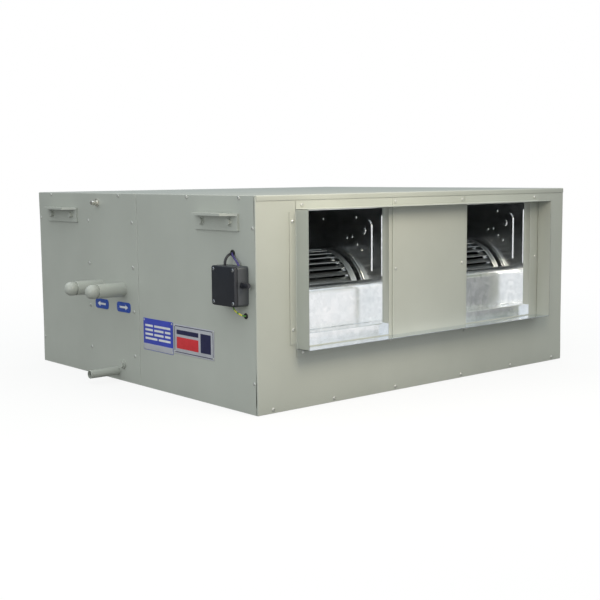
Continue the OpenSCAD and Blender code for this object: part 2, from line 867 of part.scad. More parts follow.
// Floor of the outlet and the tongue that rises to the cut-off edge
module cutoff_plates() {
    tongue_y = fan_y - spiral_r(180) - tongue_gap - 2 * blower_t;
    edge_y = fan_y + cut_r * cos(cut_a) - 2 * blower_t;
    bend = (edge_y - tongue_y) / (1 + cos(tongue_bend_a));
    edge_z = fan_z + cut_r * sin(cut_a);
    bend_z = edge_z - bend * sin(tongue_bend_a);
    sweep = [for (i = [0:tongue_steps]) 180 + (tongue_bend_a - 180) * i / tongue_steps];
    color(zinc) for (x = blower_x) {
        along_x(x - outlet_x, outlet_w)
            polygon(concat(
                [[outlet_y, outlet_z0], [tongue_y, outlet_z0]],
                [for (a = sweep) [tongue_y + bend + bend * cos(a), bend_z + bend * sin(a)]],
                [for (i = [tongue_steps:-1:0]) [tongue_y + bend + (bend - blower_t) * cos(sweep[i]),
                    bend_z + (bend - blower_t) * sin(sweep[i])]],
                [[tongue_y + blower_t, outlet_z0 - blower_t], [outlet_y, outlet_z0 - blower_t]]));
        slab(x - outlet_x, x + outlet_x, outlet_y, outlet_y + blower_t, cut_z0 - blower_t, outlet_z0);
    }
}

// Forward-curved blade: its outer edge leads in the direction of turning
function blade_pt(t, off) =
    let (r = blade_in_r + (blade_out_r - blade_in_r) * t, a = blade_lead * t * t)
    [r * cos(a) - off * sin(a), r * sin(a) + off * cos(a)];
module blade() {
    polygon(concat(
        [for (i = [0:blade_steps]) blade_pt(i / blade_steps, 0)],
        [for (i = [blade_steps:-1:0]) blade_pt(i / blade_steps, blade_t)]));
}
module wheel(x) {
    half = wheel_w / 2;
    color(zinc) translate([x, fan_y, fan_z]) rotate([90, 0, 90]) difference() {
        union() {
            for (i = [0:blade_n - 1]) rotate(360 * i / blade_n)
                translate([0, 0, -half + 1]) linear_extrude(wheel_w - 2) blade();
            for (z = [-half, half - wheel_ring])
                translate([0, 0, z]) ring(wheel_d / 2, wheel_ring_r, wheel_ring);
            for (z = [-half, half - wheel_band])
                translate([0, 0, z]) ring(wheel_d / 2, blade_out_r - 0.5, wheel_band);
            translate([0, 0, -wheel_disc / 2]) cylinder(r = blade_in_r + disc_grip, h = wheel_disc);
            translate([0, 0, -hub_l / 2]) cylinder(r = hub_r, h = hub_l);
        }
        translate([0, 0, -hub_l]) cylinder(r = shaft_r + run_fit, h = 2 * hub_l);
    }
}
module left_wheel() { wheel(blower_x[0]); }
module right_wheel() { wheel(blower_x[1]); }
module fan_shaft() { color(steel) along_fan(-shaft_l / 2) cylinder(r = shaft_r, h = shaft_l); }

// Motor
module motor_shell() { color(black) along_fan(-motor_l / 2) ring(motor_r, motor_r - shell_t, motor_l); }
module bell() {
    difference() {
        rotate_extrude() polygon([[shaft_r + 1, 0], [motor_r, 0], [motor_r, bell_rim],
            [motor_r * 0.86, bell_l * 0.7], [motor_r * 0.6, bell_l], [nose_r, bell_l],
            [nose_r, bell_l + nose_l], [shaft_r + 1, bell_l + nose_l]]);
        translate([0, 0, -past]) cylinder(r = bearing_r + seat_fit, h = bell_l + bearing_w + past);
    }
}
module motor_bells() {
    color(steel) {
        along_fan(motor_l / 2) bell();
        along_fan(-motor_l / 2) mirror([0, 0, 1]) bell();
    }
}
module motor_stator() {
    color(copper) along_fan(-stator_l / 2) ring(motor_r - shell_t - seat_fit, stator_r, stator_l);
}
module motor_rotor() {
    color(steel) along_fan(-stator_l / 2) ring(stator_r - air_gap, shaft_r + run_fit, stator_l);
}
module motor_bearings() {
    at = motor_l / 2 + bell_l;
    color(zinc) {
        along_fan(at) ring(bearing_r, shaft_r + run_fit, bearing_w);
        along_fan(-at - bearing_w) ring(bearing_r, shaft_r + run_fit, bearing_w);
    }
}
module motor_rings() {
    color(black) for (s = [-1, 1])
        along_fan(s * cradle_x - ring_w / 2) ring(nose_r + seat_fit + ring_t, nose_r + seat_fit, ring_w);
}
module motor_cradle() {
    seat_r = nose_r + ring_t + 2 * seat_fit;
    base_z = sheet + cradle_t;
    color(zinc) difference() {
        union() {
            slab(-cradle_x - cradle_t / 2, cradle_x + cradle_t / 2, fan_y - cradle_d / 2,
                fan_y + cradle_d / 2, sheet, base_z);
            for (s = [-1, 1]) {
                slab(s * cradle_x - cradle_t / 2, s * cradle_x + cradle_t / 2,
                    fan_y - cradle_top, fan_y + cradle_top, sheet, fan_z);
                along_fan(s * cradle_x - cradle_t / 2) cylinder(r = cradle_top, h = cradle_t);
            }
        }
        along_fan(-2 * cradle_x) cylinder(r = seat_r, h = 4 * cradle_x);
        for (x = [-1, 1]) for (y = [-1, 1])
            translate([x * cradle_bolt_x, fan_y + y * cradle_bolt_y, 0]) bolt_hole();
    }
}
module cradle_bolts() {
    color(steel) for (x = [-1, 1]) for (y = [-1, 1])
        translate([x * cradle_bolt_x, fan_y + y * cradle_bolt_y, sheet + cradle_t])
            hex_bolt(sheet + cradle_t);
}

// Coil
module tube_holes(x0, x1) {
    for (y = row_y) for (z = tube_z)
        translate([x0, y, z]) rotate([0, 90, 0]) cylinder(r = tube_r + hole_fit, h = x1 - x0);
}
module fin_pack() {
    color("#B9C4CC") difference() {
        slab(web_left + sheet, web_right - sheet, coil_y0 + fin_margin + sheet,
            coil_y1 - fin_margin - sheet, coil_z0, coil_z1);
        tube_holes(web_left, web_right);
    }
}
// End plate of the coil: web against the fins, two walls and two lips against the side panel
module coil_end(left) {
    s = left ? -1 : 1;
    web = left ? -web_left : web_right;
    x_panel = right_x - sheet;
    module wall(a, b, y0, y1) { slab(min(s * a, s * b), max(s * a, s * b), y0, y1, coil_z0, coil_z1); }
    color(zinc) difference() {
        union() {
            wall(web - sheet, web, coil_y0, coil_y1);
            wall(web - sheet, x_panel, coil_y0, coil_y0 + sheet);
            wall(web - sheet, x_panel, coil_y1 - sheet, coil_y1);
            wall(x_panel - sheet, x_panel, coil_y0, coil_y0 + coil_lip);
            wall(x_panel - sheet, x_panel, coil_y1 - coil_lip, coil_y1);
        }
        tube_holes(left_x, right_x);
        side_holes(left);
    }
}
module coil_end_left() { coil_end(true); }
module coil_end_right() { coil_end(false); }

module tube(x0, x1, y, z) {
    translate([x0, y, z]) rotate([0, 90, 0]) ring(tube_r, tube_r - tube_wall, x1 - x0);
}
// Half turn that joins two neighbouring rows, bulging towards +X or -X
module half_turn(x, y, z, dir) {
    translate([x, y + bend_r, z]) rotate(dir > 0 ? -90 : 90) rotate_extrude(angle = 180)
        translate([bend_r, 0]) difference() {
            circle(r = tube_r, $fn = 24);
            circle(r = tube_r - tube_wall, $fn = 24);
        }
}
feed_x = header_x + header_r - header_wall - 2;
turn_x = web_right + leg_out;
joint_x = web_left - leg_out;
module coil_tubes() {
    color(copper) for (z = tube_z) for (i = [0:row_n - 1])
        tube(i == 0 || i == row_n - 1 ? feed_x : joint_x, turn_x, row_y[i], z);
}
// Half turns brazed on the tube ends: outer pairs of rows at the right, middle rows at the left
module return_bends() {
    color(copper) for (z = tube_z) {
        half_turn(turn_x, row_y[0], z, 1);
        half_turn(joint_x, row_y[1], z, -1);
        half_turn(turn_x, row_y[2], z, 1);
    }
}
module coil_headers() {
    color(copper) for (y = [row_y[0], row_y[3]]) difference() {
        translate([header_x, y, header_z0]) cylinder(r = header_r, h = header_z1 - header_z0);
        translate([header_x, y, header_z0 + header_wall])
            cylinder(r = header_r - header_wall, h = header_z1 - header_z0 - 2 * header_wall);
        tube_holes(header_x, web_left);
        translate([header_x - 2 * header_r, y, stub_z]) rotate([0, 90, 0])
            cylinder(r = stub_r - turned + seat_fit, h = 2 * header_r);
        translate([header_x - 2 * header_r, vent_y, vent_z]) rotate([0, 90, 0])
            cylinder(r = vent_tail_r + seat_fit, h = 2 * header_r);
    }
}
// Pipe that runs out along -X from root to end
module shouldered_pipe(root, end, r, wall) {
    rotate([0, -90, 0]) difference() {
        union() {
            translate([0, 0, -root]) cylinder(r = r - turned, h = root - end);
            translate([0, 0, -shoulder_x]) cylinder(r = r, h = shoulder_x - end);
        }
        translate([0, 0, -root - past]) cylinder(r = r - wall, h = root - end + 2 * past);
    }
}
stub_root = header_x - header_r + stub_in;
stub_end = left_x - stub_out + cap_dome + cap_rim;
module water_stubs() {
    color(paint) for (y = [row_y[0], row_y[3]])
        translate([0, y, stub_z]) shouldered_pipe(stub_root, stub_end, stub_r, stub_wall);
}
// Domed caps: a spigot in the stub, a groove, a rim and a dome
module stub_caps() {
    rim_r = stub_r - 0.2;
    spigot_r = stub_r - stub_wall - seat_fit;
    dome_n = 6;
    color(paint) for (y = [row_y[0], row_y[3]])
        translate([stub_end, y, stub_z]) rotate([0, -90, 0])
            rotate_extrude() polygon(concat(
                [[0, -10], [spigot_r, -10], [spigot_r, 0], [rim_r - 2, 0], [rim_r - 2, cap_groove],
                    [rim_r, cap_groove]],
                [for (i = [0:dome_n]) [rim_r * cos(90 * i / dome_n),
                    cap_rim + cap_dome * sin(90 * i / dome_n)]]));
}

// Manual air vent: body through the side panel, and the screw that turns in it
module vent_body() {
    tail = header_x - sqrt(pow(header_r, 2) - pow(vent_y - row_y[3], 2)) + 4;
    color(zinc) on_left(vent_y, vent_z) difference() {
        union() {
            translate([0, 0, left_x - tail]) cylinder(r = vent_tail_r, h = tail - left_x + past);
            cylinder(r = vent_nut, h = vent_nut_h, $fn = 6);
            cylinder(r = vent_body_r, h = vent_body_l);
        }
        translate([0, 0, vent_body_l - vent_stem_l - 1])
            cylinder(r = vent_stem_r + run_fit, h = vent_stem_l + 2);
    }
}
module vent_screw() {
    slot_w = 1.2;
    color(zinc) on_left(vent_y, vent_z, vent_body_l + hole_fit) difference() {
        union() {
            translate([0, 0, -vent_stem_l]) cylinder(r = vent_stem_r, h = vent_stem_l + past);
            cylinder(r = vent_knob_r, h = vent_knob_l);
        }
        translate([-vent_knob_r * 1.5, -slot_w / 2, vent_knob_l * 0.6])
            cube([vent_knob_r * 3, slot_w, vent_knob_l]);
    }
}

// Drain
module drain_pan() {
    color(zinc) difference() {
        slab(-pan_x, pan_x, pan_y0, pan_y1, pan_z, pan_z + pan_h);
        slab(-pan_x + pan_t, pan_x - pan_t, pan_y0 + pan_t, pan_y1 - pan_t, pan_z + pan_t,
            pan_z + pan_h + past);
        translate([-pan_x, drain_at, drain_z]) rotate([0, 90, 0])
            cylinder(r = drain_r - turned + seat_fit, h = 4 * pan_t, center = true);
        translate([-pan_x, plug_y, plug_z]) rotate([0, 90, 0])
            cylinder(r = plug_stem_r + seat_fit, h = 4 * pan_t, center = true);
    }
}
module drain_pipe() {
    root = -pan_x + 3;
    color(paint) translate([0, drain_at, drain_z])
        shouldered_pipe(root, left_x - drain_out, drain_r, drain_wall);
}
module overflow_plug() {
    root = -pan_x + 3;
    color(paint) on_left(plug_y, plug_z) {
        translate([0, 0, left_x - root]) cylinder(r = plug_stem_r, h = root - left_x);
        cylinder(r = plug_r, h = plug_out * 0.5);
        cylinder(r = plug_r * 0.8, h = plug_out, $fn = 6);
    }
}

// Return air filter: frame with end cap and pull, media, and the two rails it slides in
module filter_frame() {
    x1 = right_x + cap_gap;
    y0 = filter_y - filter_t / 2;
    y1 = filter_y + filter_t / 2;
    mid_z = (filter_z0 + filter_z1) / 2;
    cap_x = x1 + cap_t;
    color("#A9AFB0") {
        difference() {
            slab(filter_x0, x1, y0, y1, filter_z0, filter_z1);
            slab(filter_x0 + filter_bar, right_x - return_w, y0 - past, y1 + past,
                filter_z0 + filter_bar, filter_z1 - filter_bar);
        }
        slab(x1, cap_x, y0 - cap_over, y1 + cap_over, filter_z0 - cap_over, filter_z1 + cap_over);
        for (s = [-1, 1])
            translate([cap_x, filter_y, mid_z + s * grip_l / 2]) rotate([0, 90, 0])
                cylinder(r = grip_r, h = grip_out);
        translate([cap_x + grip_out, filter_y, mid_z - grip_l / 2 - grip_r])
            cylinder(r = grip_r, h = grip_l + 2 * grip_r);
    }
}
module filter_media() {
    color("#D8DCD8") slab(filter_x0 + filter_bar + media_fit, right_x - return_w - media_fit,
        filter_y - media_t / 2, filter_y + media_t / 2,
        filter_z0 + filter_bar + media_fit, filter_z1 - filter_bar - media_fit);
}
module filter_rails() {
    rail_x = right_x - sheet - slip;
    gap_y = filter_t / 2 + filter_gap;
    color(zinc) for (s = [-1, 1]) {
        slab(-rail_x, rail_x - return_w, filter_y + min(s * gap_y, s * (gap_y + rail_t)),
            filter_y + max(s * gap_y, s * (gap_y + rail_t)), sheet, filter_z0 + rail_lip);
        slab(-rail_x, rail_x - return_w, filter_y + min(s * gap_y, s * (gap_y + rail_t)),
            filter_y + max(s * gap_y, s * (gap_y + rail_t)), filter_z1 - rail_lip, panel_z1);
        slab(-rail_x, rail_x - return_w, filter_y - gap_y, filter_y + gap_y,
            s < 0 ? filter_z0 - filter_gap - rail_t : filter_z1 + filter_gap,
            s < 0 ? filter_z0 - filter_gap : filter_z1 + filter_gap + rail_t);
    }
}

// Terminal box
lid_x = left_x - box_d + lid_t;
module terminal_box() {
    y0 = box_y - box_w / 2;
    y1 = box_y + box_w / 2;
    z0 = box_z - box_h / 2;
    z1 = box_z + box_h / 2;
    color(black) difference() {
        slab(lid_x, left_x, y0, y1, z0, z1);
        difference() {
            slab(lid_x - past, left_x - box_wall, y0 + box_wall, y1 - box_wall,
                z0 + box_wall, z1 - box_wall);
            lid_bosses();
        }
        lid_bores();
        translate([gland_x, y0, gland_z]) rotate([90, 0, 0])
            cylinder(r = gland_r * 0.7 + seat_fit, h = 4 * box_wall, center = true);
        translate([left_x - lead_route[7][0], lead_y + lead_route[7][1], z1])
            cylinder(r = lead_d / 2 + 2 * hole_fit, h = 4 * box_wall, center = true);
        translate([left_x - earth_route[7][0], earth_y + earth_route[7][1], z0])
            cylinder(r = earth_d / 2 + 2 * hole_fit, h = 4 * box_wall, center = true);
    }
}
module at_lid_corners() {
    for (a = [-1, 1]) for (b = [-1, 1])
        translate([0, box_y + a * (box_w / 2 - lid_screw_in), box_z + b * (box_h / 2 - lid_screw_in)])
            rotate([0, -90, 0]) children();
}
module lid_bosses() { at_lid_corners() translate([0, 0, -left_x]) cylinder(r = lid_screw_in, h = box_d); }
module lid_bores() {
    at_lid_corners() translate([0, 0, -lid_x - 12]) cylinder(r = screw_r + hole_fit, h = 12 + lid_t * 2);
}
module terminal_lid() {
    out_x = left_x - box_d;
    color(black) difference() {
        slab(out_x, lid_x, box_y - box_w / 2, box_y + box_w / 2, box_z - box_h / 2, box_z + box_h / 2);
        difference() {
            slab(out_x + lid_wall, lid_x + past, box_y - box_w / 2 + box_wall,
                box_y + box_w / 2 - box_wall, box_z - box_h / 2 + box_wall, box_z + box_h / 2 - box_wall);
            lid_bosses();
        }
        lid_bores();
        at_lid_corners() translate([0, 0, -out_x - head_h])
            cylinder(r = head_r + seat_fit, h = head_h + past);
    }
}
module lid_screws() {
    color(steel) at_lid_corners() translate([0, 0, box_d - left_x - head_h]) pan_screw(lid_t + 4);
}
module terminal_block() {
    block = [16, 34, 46];
    color("#D9D3BE") slab(left_x - box_wall - block[0], left_x - box_wall,
        box_y - block[1] / 2 + 4, box_y + block[1] / 2 - 4, box_z - block[2] / 2, box_z + block[2] / 2);
}
module cable_gland() {
    y0 = box_y - box_w / 2;
    color(black) translate([gland_x, y0, gland_z]) rotate([90, 0, 0]) {
        translate([0, 0, -box_wall]) cylinder(r = gland_r * 0.7, h = box_wall);
        cylinder(r = gland_r, h = gland_l * 0.35, $fn = 6);
        cylinder(r = gland_r * 0.8, h = gland_l * 0.9);
        cylinder(r = gland_r * 0.55, h = gland_l);
    }
}

// Cords that run from the box through a grommet into the casing
function cord_ring(p, d, r) =
    let (n = unit(cross(d, [0, 1, 0])), b = cross(n, d))
    [for (k = [0:cord_sides - 1]) let (a = 360 * k / cord_sides) p + r * (cos(a) * n + sin(a) * b)];
function unit(v) = v / norm(v);
function route_dir(p, i) =
    unit((i < len(p) - 1 ? p[i + 1] : p[i]) - (i > 0 ? p[i - 1] : p[i]));
module cord(route, r) {
    n = len(route);
    points = [for (i = [0:n - 1]) each cord_ring(route[i], route_dir(route, i), r)];
    sides = [for (i = [0:n - 2]) for (k = [0:cord_sides - 1])
        let (a = i * cord_sides + k, b = i * cord_sides + (k + 1) % cord_sides)
        [a, b, b + cord_sides, a + cord_sides]];
    first = [for (k = [cord_sides - 1:-1:0]) k];
    last = [for (k = [0:cord_sides - 1]) (n - 1) * cord_sides + k];
    polyhedron(points, concat([first], sides, [last]));
}
module motor_lead() {
    color("#2B2430") translate([left_x, lead_y, lead_hole_z]) mirror([1, 0, 0])
        cord(lead_route, lead_d / 2);
}
module earth_wire() {
    color("#B5B84A") translate([left_x, earth_y, earth_hole_z]) mirror([1, 0, 0])
        cord(earth_route, earth_d / 2);
}
function grommet_r(d) = d / 2 + hole_fit + grommet_wall;
module grommet(d) {
    r = grommet_r(d);
    difference() {
        union() {
            translate([0, 0, -sheet - grommet_h]) cylinder(r = r, h = sheet + 2 * grommet_h);
            cylinder(r = r + grommet_lip, h = grommet_h);
        }
        translate([0, 0, -hole_reach]) cylinder(r = d / 2 + hole_fit, h = 2 * hole_reach);
    }
}
module grommets() {
    color(black) {
        on_left(lead_y, lead_hole_z) grommet(lead_d);
        on_left(earth_y, earth_hole_z) grommet(earth_d);
    }
}

// Plates and labels, left blank
module side_plate(y, z, size) {
    slab(left_x - label_t, left_x, y - size[0] / 2, y + size[0] / 2, z - size[1] / 2, z + size[1] / 2);
}
module data_plate() { color("#3A45B0") side_plate(data_y, data_z, data_size); }
module name_plate() { color("#B9BAC0") side_plate(name_y, name_z, name_size); }
module flow_labels() {
    color("#3A45B0") {
        side_plate(row_y[0] + flow_shift[0], flow_z, flow_size);
        side_plate(row_y[3] + flow_shift[1], flow_z, flow_size);
    }
}

base_tray();
top_cover();
front_panel();
rear_frame();
left_fan_panel();
left_coil_panel();
right_fan_panel();
right_coil_panel();
foam_lining();
collar_sides();
collar_top();
collar_bottom();
centre_plate();
casing_screws();
left_hangers();
right_hangers();
hanger_bolts();
outlet_frames();
scroll_wraps();
scroll_side_plates();
inlet_rings();
cutoff_plates();
left_wheel();
right_wheel();
fan_shaft();
motor_shell();
motor_bells();
motor_stator();
motor_rotor();
motor_bearings();
motor_rings();
motor_cradle();
cradle_bolts();
fin_pack();
coil_end_left();
coil_end_right();
coil_tubes();
return_bends();
coil_headers();
water_stubs();
stub_caps();
vent_body();
vent_screw();
drain_pan();
drain_pipe();
overflow_plug();
filter_frame();
filter_media();
filter_rails();
terminal_box();
terminal_lid();
terminal_block();
lid_screws();
cable_gland();
motor_lead();
earth_wire();
grommets();
data_plate();
name_plate();
flow_labels();
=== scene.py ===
"""Ducted fan coil unit: formed sheets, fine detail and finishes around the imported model."""
import math
from collections import namedtuple

import bmesh
import bpy
import numpy as np
from bpy.props import FloatProperty, FloatVectorProperty, IntProperty, PointerProperty
from mathutils import Matrix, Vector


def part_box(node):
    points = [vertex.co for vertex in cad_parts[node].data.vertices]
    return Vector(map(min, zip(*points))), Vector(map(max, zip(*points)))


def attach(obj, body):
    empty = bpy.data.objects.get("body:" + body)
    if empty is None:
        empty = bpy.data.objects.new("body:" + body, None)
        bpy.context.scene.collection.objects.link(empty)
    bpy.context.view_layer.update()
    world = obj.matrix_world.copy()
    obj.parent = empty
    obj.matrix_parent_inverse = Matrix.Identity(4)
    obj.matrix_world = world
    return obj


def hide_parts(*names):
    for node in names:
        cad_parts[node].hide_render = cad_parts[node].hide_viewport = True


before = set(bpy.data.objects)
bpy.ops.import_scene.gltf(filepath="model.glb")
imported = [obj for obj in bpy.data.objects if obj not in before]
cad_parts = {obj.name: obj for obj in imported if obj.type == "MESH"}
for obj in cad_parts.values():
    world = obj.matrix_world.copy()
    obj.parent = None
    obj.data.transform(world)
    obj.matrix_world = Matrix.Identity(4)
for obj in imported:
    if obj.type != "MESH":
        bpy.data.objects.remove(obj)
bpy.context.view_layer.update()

bl_info = {
    "name": "Ducted fan coil unit",
    "version": (1, 0, 0),
    "blender": (4, 5, 0),
    "location": "View3D > Sidebar > Fan coil",
    "description": "Dresses the fan coil unit with formed sheet metal, blowers, coil and finishes",
    "category": "Object",
}

MM = 0.001
BOX = {name: np.array([tuple(corner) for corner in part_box(name)]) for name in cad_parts}

# Casing faces and edges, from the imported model
LEFT = BOX["left_fan_panel"][0, 0]
RIGHT = BOX["right_fan_panel"][1, 0]
FRONT = BOX["front_panel"][0, 1]
PANEL_LOW, PANEL_TOP = BOX["front_panel"][:, 2]
LIP_X, LIP_Y = BOX["top_cover"][1, :2]
TOP = BOX["top_cover"][1, 2]
TOP_LIP = BOX["top_cover"][0, 2]
BASE_LIP = BOX["base_tray"][1, 2]
SEAM_FAN = BOX["left_fan_panel"][1, 1]
SEAM_COIL = BOX["left_coil_panel"][0, 1]
SIDE_REAR = BOX["left_coil_panel"][1, 1]

# Blowers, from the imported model
BLOWER_X = [BOX[name][:, 0].mean() for name in ("left_wheel", "right_wheel")]
FAN_Y, FAN_Z = BOX["fan_shaft"][:, 1:].mean(axis=0)
WHEEL_R = (BOX["left_wheel"][1, 1] - BOX["left_wheel"][0, 1]) / 2
WHEEL_HALF = (BOX["left_wheel"][1, 0] - BOX["left_wheel"][0, 0]) / 2
OUTLET_HALF = BOX["scroll_wraps"][1, 0] - BLOWER_X[1]
OUTLET_Y = BOX["scroll_wraps"][0, 1]
OUTLET_FLANGE = 14 * MM
OUTLET_HIGH = 260 * MM
OUTLET_TOP = BOX["scroll_wraps"][1, 2] - OUTLET_FLANGE
OUTLET_LOW = OUTLET_TOP - OUTLET_HIGH
FOOT_LOW = BOX["cutoff_plates"][0, 2]
CUT_MARGIN = 5 * MM
CUT_LOW = FOOT_LOW + 1.0 * MM

# Level of the outlets' floor, which the enamel leaves bare
BARE_LOW = BOX["collar_sides"][0, 2] - 1.5 * MM
BARE_TOP = OUTLET_LOW + 1.0 * MM


def linear(code):
    """An sRGB hex code as linear RGBA: the sRGB curve undone for each channel."""
    share = np.array([int(code[i:i + 2], 16) for i in (1, 3, 5)]) / 255
    curve = np.where(share <= 0.04045, share / 12.92, ((share + 0.055) / 1.055) ** 2.4)
    return (*curve.tolist(), 1.0)


def colour(name, description, code):
    """A colour property with an sRGB hex code as its default."""
    return FloatVectorProperty(name=name, description=description, subtype="COLOR", size=4,
                               min=0.0, max=1.0, default=linear(code))


def length(name, description, default):
    """A length property in metres."""
    return FloatProperty(name=name, description=description, default=default, min=0.0,
                         unit="LENGTH", precision=5)


class CasingSizes(bpy.types.PropertyGroup):
    """Sizes of the folded casing sheets."""
    sheet: length("Sheet", "Thickness of the casing sheet", 1.2 * MM)
    bend: length("Bend radius", "Outside radius of the casing's folds", 2.6 * MM)
    seam_bend: length("Seam radius", "Outside radius of the folds beside the seam", 3.0 * MM)
    sag: length("Sag", "How far the large sheets dish inwards", 0.35 * MM)
    edge: length("Frame edge", "Width of the paint-rounded edges of the rear frame", 0.7 * MM)


class BlowerSizes(bpy.types.PropertyGroup):
    """Sizes of the blower sheets and wheels."""
    sheet: length("Sheet", "Thickness of the blower sheet", 1.0 * MM)
    clearance: length("Cut-off clearance", "Gap between the wheel and the cut-off", 8 * MM)
    bead: length("Bead radius", "Radius of the stiffening beads", 2.6 * MM)
    blades: IntProperty(name="Blades", description="Number of blades on a wheel", default=40, min=12)
    blade_depth: length("Blade depth", "Depth of the blade ring", 20.5 * MM)
    blade_sheet: length("Blade sheet", "Thickness of a blade", 1.0 * MM)


class CoilSizes(bpy.types.PropertyGroup):
    """Sizes of the fins and of the filter's pleats."""
    fin_pitch: length("Fin pitch", "Distance between two fins", 2.1 * MM)
    fin_sheet: length("Fin sheet", "Thickness of a fin, drawn thicker so that it shows", 0.3 * MM)
    fin_wave: length("Fin wave", "Depth of a fin's corrugation", 0.6 * MM)
    pleat: length("Pleat pitch", "Distance between two pleats of the filter", 16 * MM)
    fleece: length("Fleece", "Thickness of the filter fleece", 1.6 * MM)


class Colours(bpy.types.PropertyGroup):
    """Colours that a user would change."""
    enamel: colour("Enamel", "Stove enamel of the casing", "#BBBEB6")
    enamel_dust: colour("Enamel shade", "Duller patches of the enamel", "#B4B7AF")
    box: colour("Terminal box", "Moulded plastic of the terminal box", "#23252C")
    plate_blue: colour("Plate blue", "Anodised data plate", "#4452C4")
    plate_silver: colour("Plate silver", "Anodised name plate", "#D2D2D9")
    ink_red: colour("Red ink", "Red bar of the name plate", "#DC323A")
    ink_navy: colour("Navy ink", "Dark bars of the name plate", "#22224C")
    earth_yellow: colour("Earth yellow", "Earth wire", "#D6CE3A")
    earth_green: colour("Earth green", "Stripe of the earth wire", "#4E8E3A")


# Surfaces

def fold(points, radius, steps=6):
    """An open outline whose inner corners become arcs of the radius, tangent to both legs:
    each arc turns from the first tangent point to the second about the corner's centre."""
    spots = np.asarray(points, float)
    corner = spots[1:-1]
    back = spots[:-2] - corner
    ahead = spots[2:] - corner
    back /= np.linalg.norm(back, axis=1, keepdims=True)
    ahead /= np.linalg.norm(ahead, axis=1, keepdims=True)
    half = np.arccos(np.clip((back * ahead).sum(axis=1), -1, 1))[:, None] / 2
    middle = back + ahead
    centre = corner + middle / np.linalg.norm(middle, axis=1, keepdims=True) * radius / np.sin(half)
    first = corner + back * radius / np.tan(half) - centre
    last = corner + ahead * radius / np.tan(half) - centre
    turn = np.pi - 2 * half[:, None]
    share = np.linspace(0, 1, steps + 1)[None, :, None]
    arc = np.sin((1 - share) * turn) * first[:, None] + np.sin(share * turn) * last[:, None]
    arc /= np.sin(turn)
    return np.concatenate([spots[:1], (arc + centre[:, None]).reshape(-1, 2), spots[-1:]])


def extrude(profile, along, order):
    """A flat profile carried along a straight axis. order names the axes of the profile's two
    numbers and of the run, such as yzx."""
    points = np.empty((len(profile), len(along), 3))
    first, second, run = ("xyz".index(axis) for axis in order)
    points[..., first] = np.asarray(profile)[:, None, 0]
    points[..., second] = np.asarray(profile)[:, None, 1]
    points[..., run] = np.asarray(along)[None, :]
    return points


def surface(points, keep=None, close_rows=False, close_cols=False):
    """Quads between neighbouring points of a grid; keep marks the cells that stay."""
    rows, cols = points.shape[:2]
    i = np.arange(rows if close_rows else rows - 1)[:, None]
    j = np.arange(cols if close_cols else cols - 1)[None, :]
    below = (i + 1) % rows
    beside = (j + 1) % cols
    corners = (i * cols + j, below * cols + j, below * cols + beside, i * cols + beside)
    faces = np.stack(np.broadcast_arrays(*corners), axis=-1)
    return points.reshape(-1, 3), faces.reshape(-1, 4) if keep is None else faces[keep]


def facing(part, direction):
    """The same part with its faces turned so that their normals, taken together, agree with the
    direction, which is one for all faces or one for each."""
    verts, faces = part
    spots = verts[faces]
    normals = np.cross(spots[:, 2] - spots[:, 0], spots[:, 3] - spots[:, 1])
    return part if (normals * direction).sum() > 0 else (verts, faces[:, ::-1])


def outwards(part, centre):
    """Directions from a centre to each face of a part."""
    verts, faces = part
    return verts[faces].mean(axis=1) - centre


def lathe(profile, centre, axis, steps=48):
    """Pairs of (radius, height) turned about an axis: centre + height along the axis + radius
    round it. A radius of 0 closes an end."""
    pairs = np.asarray(profile, float)
    along = np.asarray(axis, float)
    first = np.roll(along, 1)
    second = np.cross(along, first)
    turn = np.linspace(0, 2 * np.pi, steps, endpoint=False)[:, None]
    ring = np.cos(turn) * first + np.sin(turn) * second
    points = pairs[:, 1, None, None] * along + pairs[:, 0, None, None] * ring
    return surface(points + np.asarray(centre), close_cols=True)


def tube(path, radius, steps=14):
    """A circle carried along a path that never runs along Y, closed at both ends: each ring lies
    across the path, turned from the Y direction."""
    tangent = np.gradient(path, axis=0)
    tangent /= np.linalg.norm(tangent, axis=1, keepdims=True)
    lift = np.cross(tangent, (0.0, 1.0, 0.0))
    lift /= np.linalg.norm(lift, axis=1, keepdims=True)
    side = np.cross(lift, tangent)
    turn = np.linspace(0, 2 * np.pi, steps, endpoint=False)[None, :, None]
    rings = path[:, None] + radius * (np.cos(turn) * side[:, None] + np.sin(turn) * lift[:, None])
    ends = [np.repeat(path[k][None, None], steps, axis=1) for k in (0, -1)]
    return surface(np.concatenate([ends[0], rings, ends[1]]), close_cols=True)


def smooth(points, steps=8):
    """A Catmull-Rom curve through the points, a cubic on each stretch between two of them."""
    spots = np.asarray(points, float)
    spots = np.concatenate([2 * spots[:1] - spots[1:2], spots, 2 * spots[-1:] - spots[-2:-1]])
    t = np.linspace(0, 1, steps, endpoint=False)[None, :, None]
    a, b, c, d = (spots[k:len(spots) - 3 + k, None] for k in range(4))
    curve = b + 0.5 * t * (c - a + t * (2 * a - 5 * b + 4 * c - d + t * (3 * (b - c) + d - a)))
    return np.concatenate([curve.reshape(-1, spots.shape[1]), spots[-2:-1]])


def rounded(half, corner, inset, steps=4):
    """Rounded rectangles about the origin, one for each inset: quarter circles round the corners'
    centres, joined by the straight sides."""
    quarter = np.linspace(0, np.pi / 2, steps + 1)
    turn = (quarter + np.arange(4)[:, None] * np.pi / 2).ravel()
    signs = np.repeat([[1, 1], [-1, 1], [-1, -1], [1, -1]], steps + 1, axis=0)
    return signs * (half - corner) + (corner - np.asarray(inset))[:, None, None] * np.stack(
        [np.cos(turn), np.sin(turn)], axis=-1)


